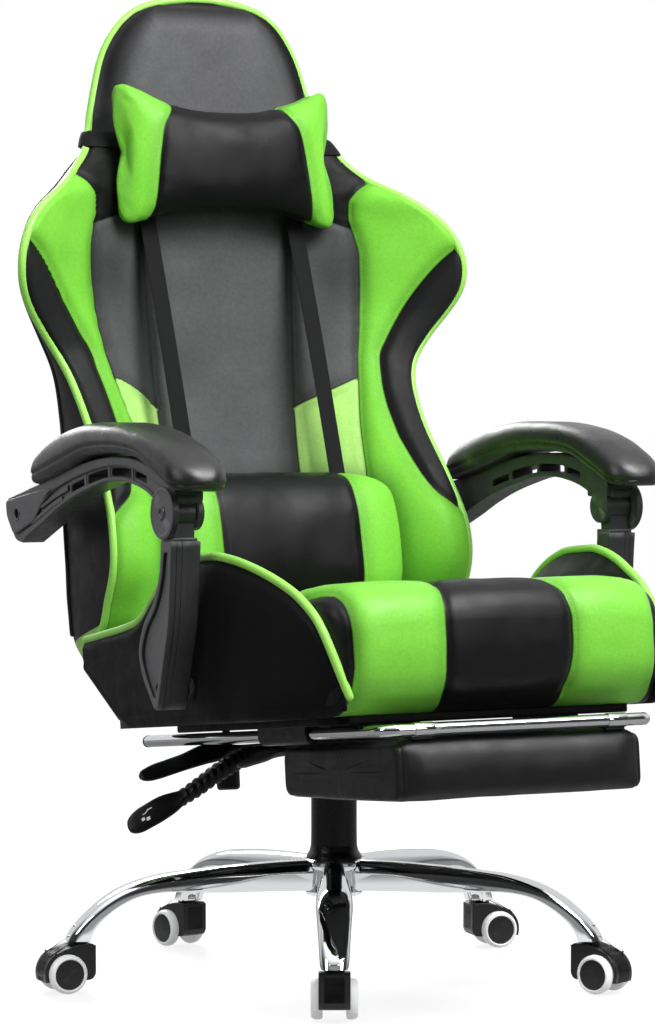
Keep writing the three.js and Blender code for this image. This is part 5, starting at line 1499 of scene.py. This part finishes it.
parts = []
arm1 = base_arm()
boss = lathe(fillet([[6.5, 62.2], [12.4, 62.2], [13.5, 63.4], [13.5, 70], [6.5, 70], [6.5, 62.2]], 0.8, 3), 40, "z", (BASE_R, 0, 0))
for yaw in ARM_YAW:
    parts += [place(arm1, yaw), place(boss, yaw)]
hub = lathe(fillet([[25.6, 106.5], [33, 106.5], [36.5, 111], [36.8, 140], [38.5, 147], [38.0, 152.2], [36, 153.4], [25.6, 153.4], [25.6, 106.5]], 1.6, 4), 96)
parts.append(hub)
star = []
for k_ in range(5):
    a0 = ARM_YAW[k_]
    for da, r_ in ((-0.42, 40.0), (0.0, 38.5), (0.42, 40.0), (0.628, 46.5)):
        star.append([r_ * math.cos(a0 + da), r_ * math.sin(a0 + da)])
parts.append(plate([round_poly(star, 2.5, 4), ring_circle((0, 0), 26, 48)[::-1]], 143.5, 152.6, 2.2, axis="z"))
mk("star_base_shell", merge(*parts), M_CHROME, "base", replaces="star_base", angle=36)

# ---------------------------------------------------------------- gas lift covers
mk("lower_cover_skin", lathe(fillet([[27.9, 153.4], [35.5, 153.4], [35.3, 156.0], [30.8, 163], [29.3, 170], [29.0, 190], [29.0, 264], [28.2, 267], [27.9, 267], [27.9, 153.4]], 1.4, 4), 96), M_GLOSSPLASTIC, "base", replaces="lower_cover")
mk("upper_cover_skin", lathe(fillet([[25.9, 176], [27.4, 176], [27.4, 281.6], [26.4, 283], [14.8, 283], [14.8, 281.4], [25.9, 281.4], [25.9, 176]], 0.7, 3), 96), M_GLOSSPLASTIC, "lift", replaces="upper_cover")

# ---------------------------------------------------------------- casters
C2 = (TRAIL, WHEEL_R)


def arc(c, r_, a0, a1, n=24):
    a = np.radians(np.linspace(a0, a1, n))
    return np.column_stack([c[0] + r_ * np.cos(a), c[1] + r_ * np.sin(a)])


top_line = spline([[36, 49.2], [28, 53.0], [18, 56.4], [6, 59.6], [-6, 60.4], [-13, 60.4]], n=14)
hood_o = np.vstack([arc(C2, 29.4, -20, 60, 26), top_line, round_poly([[-17.4, 60.2], [-17.6, 22], [-13, 16], [6, 13.5], [30, 13.5]], [4, 5, 3, 3, 0], 4)[1:]])
web_o = hood_o
rim_o = np.vstack([arc(C2, 29.4, -20, 60, 26), top_line, round_poly([[-17.4, 60.2], [-17.6, 22], [-13, 16], [-4.4, 15.2]], [4, 5, 3, 1], 4)[1:], arc(C2, 25.5, 202, -17, 50)])
hood = merge(
    plate([round_poly(web_o, 1.4, 2)], -12.9, 12.9, 0.8),
    plate([round_poly(rim_o, 1.5, 3)], -18.9, 18.9, 1.2, 4),
    lathe(fillet([[4.0, -25], [4.0, 25]], 0.5), 20, "x", (0, *C2)) if False else lathe([[0.01, -25.0], [3.8, -25.0], [3.8, 25.0], [0.01, 25.0]], 20, "x", (0, *C2)),
    lathe(fillet([[6.2, 56], [11.5, 56], [12.5, 60.4], [11.4, 61.2], [6.2, 61.2], [6.2, 56]], 0.5, 3), 36, "z"))
stem = lathe(fillet([[0.01, 41], [5.5, 41], [5.5, 61.0], [8.6, 61.0], [9.2, 61.5], [8.6, 62.2], [5.5, 62.2], [5.5, 82.6], [0.01, 83]], 0.3, 2), 28, "z")
tread = lathe(fillet([[18.6, 23.0], [18.9, 27.4], [20.2, 28.4], [22.0, 27.4], [23.6, 25.0], [24.4, 22.0], [24.5, 19.5], [24.2, 16.6], [23.0, 14.4], [21.4, 13.9], [8.0, 13.9], [8.0, 23.0], [18.6, 23.0]], 0.9, 4), 72, "x", (0, *C2))
hubcap = lathe(fillet([[4.6, 22.5], [18.7, 22.5], [18.7, 26.2], [18.0, 27.2], [16.5, 27.3], [9.0, 27.6], [0.01, 27.8]], 0.4, 3), 72, "x", (0, *C2))
spokes = [plate([np.array([[C2[0] + 6.5 * math.cos(a - 0.12), C2[1] + 6.5 * math.sin(a - 0.12)], [C2[0] + 15.8 * math.cos(a - 0.05), C2[1] + 15.8 * math.sin(a - 0.05)],
                                [C2[0] + 15.8 * math.cos(a + 0.05), C2[1] + 15.8 * math.sin(a + 0.05)], [C2[0] + 6.5 * math.cos(a + 0.12), C2[1] + 6.5 * math.sin(a + 0.12)]])], 25.6, 26.45, 0.25, 1)
          for a in np.linspace(0, 2 * math.pi, 3, endpoint=False) + 0.4]

for i, yaw in enumerate(ARM_YAW):
    n_ = i + 1
    at = (BASE_R * math.cos(yaw), BASE_R * math.sin(yaw), 0)
    g = math.radians(CASTER_YAW[i] - 90)
    mk(f"caster_hood_{n_}_shell", place(hood, g, at), M_HUB, f"caster_{n_}", replaces=f"caster_hood_{n_}", angle=34, weighted=True)
    body_stem = "base"
    mk(f"caster_stem_{n_}_pin", place(stem, 0, at), M_CHROME, body_stem, replaces=f"caster_stem_{n_}")
    for tag, flip in (("a", 1), ("b", -1)):
        tr = tread if flip > 0 else mirror(tread)
        hc = hubcap if flip > 0 else mirror(hubcap)
        mk(f"caster_tread_{n_}{tag}", place(tr, g, at), M_TREAD, f"wheel_{n_}{tag}", replaces=f"caster_wheel_{n_}{tag}", angle=50)
        mk(f"caster_hub_{n_}{tag}", place(hc, g, at), M_HUB, f"wheel_{n_}{tag}", angle=40)

# ---------------------------------------------------------------- footrest slides
RX, RR, RZ, RF, RB = 180.0, 7.5, -17.5, -451.5, 171.0
bend = [[RX - 20 + 20 * math.cos(a), RF + 20 - 20 * math.sin(a), RZ] for a in np.linspace(0, math.pi / 2, 10)]
half = [[RX, RB, RZ]] + [[RX, y_, RZ] for y_ in np.linspace(150, RF + 30, 24)] + bend
path = np.array(half + [[x_, RF, RZ] for x_ in np.linspace(RX - 30, -RX + 30, 20)] + (np.array(half) * [-1, 1, 1])[::-1].tolist())
tv, tf = tube(path, RR, 28, round_ends=False)
mk("footrest_tube", (SL(tv), tf), M_CHROME, "footrest_frame", replaces=("footrest_rail_left", "footrest_rail_right", "footrest_front_tube"), angle=60)
fp = plate([round_poly([[-150, -430], [150, -430], [150, -196], [-150, -196]], 14, 6), round_poly([[-60, -360], [60, -360], [60, -270], [-60, -270]], 12, 5)[::-1]], -29.4, -26.4, 0.9, axis="z")
lips = [plate([round_poly([[RF + 1.0, -26.2], [RF + 1.0, -28.6], [-420, -29.4], [-420, -26.6], [RF + 14, -24.4]], 0.5, 2)], x0, x0 + 26, 0.4) for x0 in (118, -144)]
fp = merge(fp, *lips)
mk("footrest_plate_body", (SL(fp[0]), fp[1]), M_BLACKSTEEL, "footrest", replaces="footrest_plate", angle=34)
clips = []
for x0 in (118, -144):
    clips.append(lathe(fillet([[7.7, x0], [8.3, x0], [8.6, x0 + 0.4], [8.6, x0 + 25.6], [8.3, x0 + 26], [7.7, x0 + 26], [7.7, x0]], 0.1, 2), 40, "x", (0, RF, RZ)))
cp_ = merge(*clips)
mk("footrest_hinge_clips", (SL(cp_[0]), cp_[1]), M_CHROME, "footrest", angle=40)
for s, side in ((1, "left"), (-1, "right")):
    cap = lathe(fillet([[0.01, RB + 2.6], [6.2, RB + 2.6], [7.9, RB + 1.0], [7.9, RB - 2], [0.01, RB - 2]], 0.8, 3), 28, "y", (s * RX, 0, RZ))
    mk(f"rail_end_{side}", (SL(cap[0]), cap[1]), M_BLACKPLASTIC, "footrest_frame")
    # sleeve: a moulded block round the rail, with two bolts up into the seat
    o = round_poly([[s * RX - 10.5, -0.6], [s * RX + 10.5, -0.6], [s * RX + 10.5, -22], [s * RX + 5, -29.3], [s * RX - 5, -29.3], [s * RX - 10.5, -22]], [1.5, 1.5, 5, 4, 4, 5], 4)
    sv_ = plate([o, ring_circle((s * RX, RZ), 7.95, 32)[::-1]], -277, -155, 1.2, axis="y")
    mk(f"rail_sleeve_{side}_block", (SL(sv_[0]), sv_[1]), M_BLACKPLASTIC, "seat", replaces=f"rail_sleeve_{side}", angle=34, weighted=True)


def hexhead(r_, h_, x, y, z, up=-1):
    a = np.linspace(0, 2 * math.pi, 6, endpoint=False)
    return plate([round_poly(np.column_stack([x + r_ * np.cos(a), y + r_ * np.sin(a)]), 0.5, 2)], min(z, z + up * h_), max(z, z + up * h_), 0.6, 2, axis="z")


bolts = []
for bx in (-98, 98):
    for by in (-96, -30, 44, 112):
        bolts.append(hexhead(6.2, 4.0, bx, by, -3.4))
        bolts.append(lathe(fillet([[0.01, -4.0], [8.4, -4.0], [8.4, -3.3], [0.01, -3.3]], 0.2, 2), 28, "z", (bx, by, 0)))
bm_ = merge(*bolts)
mk("mech_bolts", (SL(bm_[0]), bm_[1]), M_STEEL, "seat")
bolts = []
for s in (1, -1):
    for by in (-266, -166):
        bolts.append(hexhead(4.6, 3.2, s * (RX - 17), by, -0.5))
bm_ = merge(*bolts)
mk("sleeve_bolts", (SL(bm_[0]), bm_[1]), M_STEEL, "seat")
# plates for the socket's cast ribs and two points of a spring, worked out but not made into pieces
ribs = []
for x in (-30, -10, 10, 30):
    ribs.append(plate([round_poly([[-92, 303], [-92, 318], [-60, 322], [-20, 309], [-20, 300], [-70, 296]], 3, 3)], x - 1.6, x + 1.6, 0.6))
coil = np.array([[26 * 0 + 20 * math.cos(a) * 0.55, -104 - 0 * a, 0] for a in (0, 1)])

# ---------------------------------------------------------------- levers and knob
def toseat(y, z):
    return y * CT - (z - 329.7) * ST, y * ST + (z - 329.7) * CT


def lever(stations, n=26, ns=90, power=0.8, ring=None):
    """Stations of [x, y, z, half depth, half height] in the column frame, swept with superelliptic sections."""
    S_ = np.array(stations, float)
    q_ = spline(S_, n=ns)
    if ring is not None:
        q_ = ring(q_)
    a = np.linspace(0, 2 * math.pi, n, endpoint=False)
    if q_.shape[1] == 5:
        q_ = np.column_stack([q_, np.zeros(len(q_))])
    R_ = []
    for x, y, z, hy, hz, ro in q_:
        u_, w_ = np.array([se(math.cos(t_), power) * hy for t_ in a]), np.array([se(math.sin(t_), power) * hz for t_ in a])
        R_.append(np.column_stack([np.full(n, x), y + u_ * math.cos(ro) - w_ * math.sin(ro), z + u_ * math.sin(ro) + w_ * math.cos(ro)]))
    return loft(np.array(R_))


V, F = lever([(-66.8, 66, 292, 5, 4.5, 0), (-104, 68, 291, 5.5, 5, 0.1), (-114, 69, 290.7, 8, 6, 0.4), (-126, 70, 289.5, 13, 6.6, 0.75), (-150, 73, 284.5, 15.0, 5.4, 0.7), (-172, 75, 277.5, 14.0, 4.4, 0.6), (-196, 75, 271, 13.2, 4.0, 0.62),
              (-214, 75, 266.5, 12.6, 3.8, 0.68), (-227, 75, 263, 10.4, 3.4, 0.7), (-234, 75, 261.6, 7.5, 2.8, 0.7), (-237.4, 75, 260.4, 3, 1.4, 0.7)], power=0.7)
mk("height_lever_grip", (V, F), M_BLACKPLASTIC, "height_handle", replaces="height_lever", angle=180)


def bellows(q_):
    x = q_[:, 0]
    on = sstep(-x, 100, 106) * (1 - sstep(-x, 196, 204))
    wave = np.abs(np.sin((x + 100) / 9.4 * math.pi)) ** 0.7
    q_ = q_.copy()
    q_[:, 3] = q_[:, 3] * (1 - on * 0.24) + on * 3.6 * wave
    q_[:, 4] = q_[:, 4] * (1 - on * 0.24) + on * 3.6 * wave
    return q_


V, F = lever([(-66.8, 28, 291.5, 6, 6, 0), (-96, 29, 290, 7.5, 7.5, 0), (-110, 30, 285.5, 11.5, 11, 0), (-150, 30, 266, 12.5, 12, 0), (-180, 30, 248, 11.5, 11, 0.1), (-200, 30, 237, 11, 8.5, 0.4), (-210, 30, 232.5, 14, 6.6, 0.7), (-226, 30, 226, 16.6, 5.4, 0.88),
              (-246, 30, 217, 17, 4.8, 0.9), (-260, 30, 210.5, 16, 4.4, 0.9), (-268, 30, 207, 13, 4.0, 0.9), (-273, 30, 205, 8.5, 3.0, 0.9), (-274.8, 30, 204.2, 3, 1.3, 0.9)], n=32, ns=260, power=0.74, ring=bellows)
mk("recline_lever_grip", (V, F), M_BLACKPLASTIC, "recline_handle", replaces="recline_lever", angle=180)
# two small raised marks on the paddle: a seat-back arrow and a bar, plain pictograms
marks = []
ax_u = np.array([-math.cos(0.42), 0, -math.sin(0.42)])                    # along the paddle, towards its tip
ax_w = np.array([0, math.cos(0.9), math.sin(0.9)])                        # across it
ax_n = np.cross(ax_w, ax_u)
ax_n = ax_n / np.linalg.norm(ax_n) * (1 if ax_n[2] > 0 else -1)
for cu, cw, o in ((3, -5.5, [[-2.6, -2.2], [2.6, -2.2], [2.6, 2.2], [-2.6, 2.2]]), (10, -3.0, [[-2.3, -2], [2.3, -2], [2.3, 2], [-2.3, 2]]),
                  (2, 6.0, [[-8, -0.7], [-1.5, -0.7], [2.5, -3.4], [7, -3.4], [7, -2.2], [3, -2.2], [-1, 0.7], [-8, 0.7]])):
    V_, F_ = plate([round_poly(o, 0.35, 2)], 0, 0.8, 0.25, 1, axis="z")
    c0 = np.array([-246.0, 30, 217]) + ax_n * 4.4
    V2 = c0 + (V_[:, :1] + cu) * ax_u + (V_[:, 1:2] + cw) * ax_w + V_[:, 2:] * ax_n
    marks.append((V2, F_))
mk("recline_lever_marks", merge(*marks), M_TREAD, "recline_handle")

V, F = lever([(-66.8, -8, 291, 4.5, 3.5), (-90, -8, 288.4, 5, 3.5), (-97, -7.6, 287, 8, 3.6), (-104, -7, 285.2, 12.4, 3.5), (-124, -5, 280.2, 14, 3.2), (-134, -4.4, 277.2, 11.5, 2.8), (-138, -4, 276, 7, 1.8), (-139, -4, 275.6, 2.5, 0.8)], power=0.6)
mk("rock_lock_grip", (V, F), M_LEVERGREY, "rock_lock_handle", replaces="rock_lock_lever", angle=180)

yl, zl = toseat(106, 257)
kn = lathe(fillet([[0.01, zl - 22.4], [12, zl - 22.4], [14.2, zl - 20.6], [15, zl - 18], [15, zl + 5], [13.6, zl + 7.6], [11, zl + 8.4], [5.2, zl + 9.4], [5, -3.8], [0.01, -3.8]], 1.0, 3), 96, "z", (-97, yl, 0))
V, F = kn
rel = V - [-97, yl, 0]
rad_ = np.hypot(rel[:, 0], rel[:, 1])
ang = np.arctan2(rel[:, 1], rel[:, 0])
g_ = (rad_ > 12.5) * sstep(V[:, 2], zl - 20, zl - 17) * (1 - sstep(V[:, 2], zl + 3, zl + 6))
V = V.copy()
V[:, 0] -= rel[:, 0] / np.maximum(rad_, 1e-6) * g_ * 0.8 * (0.5 - 0.5 * np.cos(ang * 24))
V[:, 1] -= rel[:, 1] / np.maximum(rad_, 1e-6) * g_ * 0.8 * (0.5 - 0.5 * np.cos(ang * 24))
mk("tension_knob_grip", (SL(V), F), M_BLACKPLASTIC, "knob", replaces="tension_knob", angle=50)

# ---------------------------------------------------------------- CAD nodes that stay: finish only
FINISH = {
    "mech_socket": M_BLACKSTEEL, "mech_plate": M_BLACKSTEEL, "seat_frame": M_BLACKSTEEL, "back_bracket_left": M_BLACKSTEEL, "back_bracket_right": M_BLACKSTEEL,
    "rock_pin": M_STEEL, "recline_shaft": M_STEEL, "piston_rod": M_CHROME, "gas_outer_tube": M_BLACKSTEEL, "footrest_plate": M_BLACKSTEEL,
    "arm_leg_bolt_left": M_STEEL, "arm_leg_bolt_right": M_STEEL,
}
for n, o in NODES.items():
    if o.hide_render:
        continue
    want = FINISH.get(n)
    if want is None:
        want = (M_CHROME if ("star" in n or "stem" in n or "rail" in n or "tube" in n) else M_TREAD if "wheel" in n else M_GREYPLASTIC if "arm_leg" in n or "arm_bracket" in n
                else M_ARMPAD if "arm_pad" in n else M_WEB if "band" in n or "strap" in n else M_BLACK if "seat" in n or "pad" in n else M_BLACKPLASTIC)
        print("plain CAD node shown:", n)
    o.data.materials.clear()
    o.data.materials.append(want)
    o.data.shade_smooth()
    o.data.set_sharp_from_angle(angle=math.radians(32))
    b = o.modifiers.new("edge", "BEVEL")
    b.width, b.segments, b.limit_method, b.angle_limit = 0.0009, 2, "ANGLE", math.radians(35)
    w = o.modifiers.new("normals", "WEIGHTED_NORMAL")
    w.keep_sharp = True

# ---------------------------------------------------------------- floor, light, camera
sc = bpy.context.scene
fs = Sh("floor_paper")
nt = fs.t
pos = fs.put("ShaderNodeSeparateXYZ", {0: fs.obj})
rad = fs.math("SQRT", fs.math("ADD", fs.math("POWER", pos.outputs[0], 2.0), fs.math("POWER", pos.outputs[1], 2.0)))
paper = fs.mix(fs.remap(fs.noise(0.8, 2), 0.3, 0.7), (0.15, 0.15, 0.151, 1), (0.165, 0.165, 0.166, 1))
path_ = fs.put("ShaderNodeLightPath")
seen = fs.mix(path_.outputs["Is Diffuse Ray"], paper, (0.24, 0.24, 0.24, 1))
near_ = fs.math("MULTIPLY", path_.outputs["Is Glossy Ray"], fs.remap(path_.outputs["Ray Length"], 0.22, 0.45, 1.0, 0.0))
fs.set(fs.b.inputs["Base Color"], seen)
fs.b.inputs["Emission Color"].default_value = (1, 1, 1, 1)
fs.set(fs.b.inputs["Emission Strength"], fs.math("ADD", fs.math("MULTIPLY", path_.outputs["Is Camera Ray"], 0.82), fs.math("MULTIPLY", near_, 0.7)))
fs.set(fs.b.inputs["Roughness"], fs.remap(fs.noise(3, 2), 0.3, 0.7, 0.55, 0.7))
fs.set(fs.b.inputs["Alpha"], fs.remap(rad, 1.1, 5.5, 1.0, 0.0))
u = np.linspace(0, 2 * math.pi, 96, endpoint=False)
rr = np.array([0.001, 0.5, 1, 1.5, 2, 3, 4, 5, 6, 7.0])
FV = np.stack([rr[:, None] * np.cos(u), rr[:, None] * np.sin(u), np.zeros((len(rr), 96)) - 0.0004], -1).reshape(-1, 3)
me = bpy.data.meshes.new("floor")
me.from_pydata(FV.tolist(), [], grid_faces(len(rr), 96, False, True))
floor = bpy.data.objects.new("floor", me)
sc.collection.objects.link(floor)
me.materials.append(fs.m)

w = bpy.data.worlds.new("studio")
sc.world = w
w.use_nodes = True
t = w.node_tree
t.nodes.clear()
out = t.nodes.new("ShaderNodeOutputWorld")
tc = t.nodes.new("ShaderNodeTexCoord")
sp = t.nodes.new("ShaderNodeSeparateXYZ")
t.links.new(tc.outputs["Generated"], sp.inputs[0])
ramp = t.nodes.new("ShaderNodeValToRGB")
mr = t.nodes.new("ShaderNodeMapRange")
mr.inputs[1].default_value, mr.inputs[2].default_value = -1.0, 1.0
t.links.new(sp.outputs[2], mr.inputs[0])
t.links.new(mr.outputs[0], ramp.inputs[0])
el = ramp.color_ramp.elements
stops = [(0.0, 0.25), (0.485, 0.30), (0.503, 0.08), (0.53, 0.03), (0.74, 0.05), (0.84, 0.35), (0.93, 1.25), (1.0, 1.4)]
el[0].position, el[0].color = 0.0, (0.8, 0.8, 0.8, 1)
el[1].position, el[1].color = 1.0, (1.35, 1.35, 1.35, 1)
for p_, v_ in stops[1:-1]:
    e = el.new(p_)
    e.color = (v_, v_, v_, 1)
for e, (p_, v_) in zip(el, stops):
    e.position, e.color = p_, (v_, v_, v_ * 1.005, 1)
bg1 = t.nodes.new("ShaderNodeBackground")
# behind the chair the studio wall is lit: tops of things pick it up at a glance
ma = t.nodes.new("ShaderNodeMath"); ma.operation = "MULTIPLY"; t.links.new(sp.outputs[0], ma.inputs[0]); ma.inputs[1].default_value = 0.478
mb = t.nodes.new("ShaderNodeMath"); mb.operation = "MULTIPLY_ADD"; t.links.new(sp.outputs[1], mb.inputs[0]); mb.inputs[1].default_value = 0.878; t.links.new(ma.outputs[0], mb.inputs[2])
r1 = t.nodes.new("ShaderNodeMapRange"); r1.inputs[1].default_value, r1.inputs[2].default_value = 0.10, 0.50; t.links.new(mb.outputs[0], r1.inputs[0])
r2 = t.nodes.new("ShaderNodeMapRange"); r2.inputs[1].default_value, r2.inputs[2].default_value = 0.0, 0.06; t.links.new(sp.outputs[2], r2.inputs[0])
mc = t.nodes.new("ShaderNodeMath"); mc.operation = "MULTIPLY"; t.links.new(r1.outputs[0], mc.inputs[0]); t.links.new(r2.outputs[0], mc.inputs[1])
wall = t.nodes.new("ShaderNodeMix"); wall.data_type = "RGBA"; t.links.new(mc.outputs[0], wall.inputs[0]); t.links.new(ramp.outputs[0], wall.inputs[6]); wall.inputs[7].default_value = (0.72, 0.72, 0.725, 1)
t.links.new(wall.outputs[2], bg1.inputs[0])
bg1.inputs[1].default_value = 1.0
bg2 = t.nodes.new("ShaderNodeBackground")
bg2.inputs[0].default_value = (1, 1, 1, 1)
bg2.inputs[1].default_value = 1.0
bg3 = t.nodes.new("ShaderNodeBackground")           # even light on matt surfaces
soft = t.nodes.new("ShaderNodeMapRange")
soft.inputs[1].default_value, soft.inputs[2].default_value, soft.inputs[3].default_value, soft.inputs[4].default_value = -0.1, 1.0, 0.04, 0.46
t.links.new(sp.outputs[2], soft.inputs[0])
bg3.inputs[0].default_value = (0.98, 0.99, 1.0, 1)
t.links.new(soft.outputs[0], bg3.inputs[1])
lp = t.nodes.new("ShaderNodeLightPath")
mx = t.nodes.new("ShaderNodeMixShader")
t.links.new(lp.outputs["Is Camera Ray"], mx.inputs[0])
mg = t.nodes.new("ShaderNodeMixShader")
t.links.new(lp.outputs["Is Diffuse Ray"], mg.inputs[0])
t.links.new(bg1.outputs[0], mg.inputs[1])
t.links.new(bg3.outputs[0], mg.inputs[2])
t.links.new(mg.outputs[0], mx.inputs[1])
t.links.new(bg2.outputs[0], mx.inputs[2])
t.links.new(mx.outputs[0], out.inputs[0])


def area(name, at, look, size, power, shape="RECTANGLE", colour=(1, 1, 1)):
    li = bpy.data.lights.new(name, "AREA")
    li.shape = shape
    li.size, li.size_y = size
    li.energy = power
    li.color = colour
    ob = bpy.data.objects.new(name, li)
    sc.collection.objects.link(ob)
    ob.location = at
    ob.rotation_euler = (Vector(look) - Vector(at)).to_track_quat("-Z", "Y").to_euler()
    ob.visible_camera = False
    return ob


MID = (0.0, 0.0, 0.65)
area("key", (0.7, -1.8, 3.0), (0.0, 0.1, 0.7), (2.0, 1.6), 126)
area("front", (1.3, -4.1, 2.3), MID, (1.6, 1.8), 44)
area("side", (-3.4, -0.6, 2.4), MID, (1.0, 1.6), 30)
area("back_rim", (0.6, 3.4, 2.4), MID, (2.0, 1.4), 80)

cam = bpy.data.cameras.new("camera")
cam.lens, cam.sensor_width = 128.72, 36.0
cam.clip_start, cam.clip_end = 0.05, 100
co = bpy.data.objects.new("camera", cam)
sc.collection.objects.link(co)
co.location = (-2.2243 + 0.01275, -4.0662 + 0.02615, 0.7295)
co.rotation_euler = (math.radians(88.303), 0, math.radians(-28.578))
sc.camera = co
sc.view_settings.view_transform = "Standard"
sc.view_settings.look = "None"
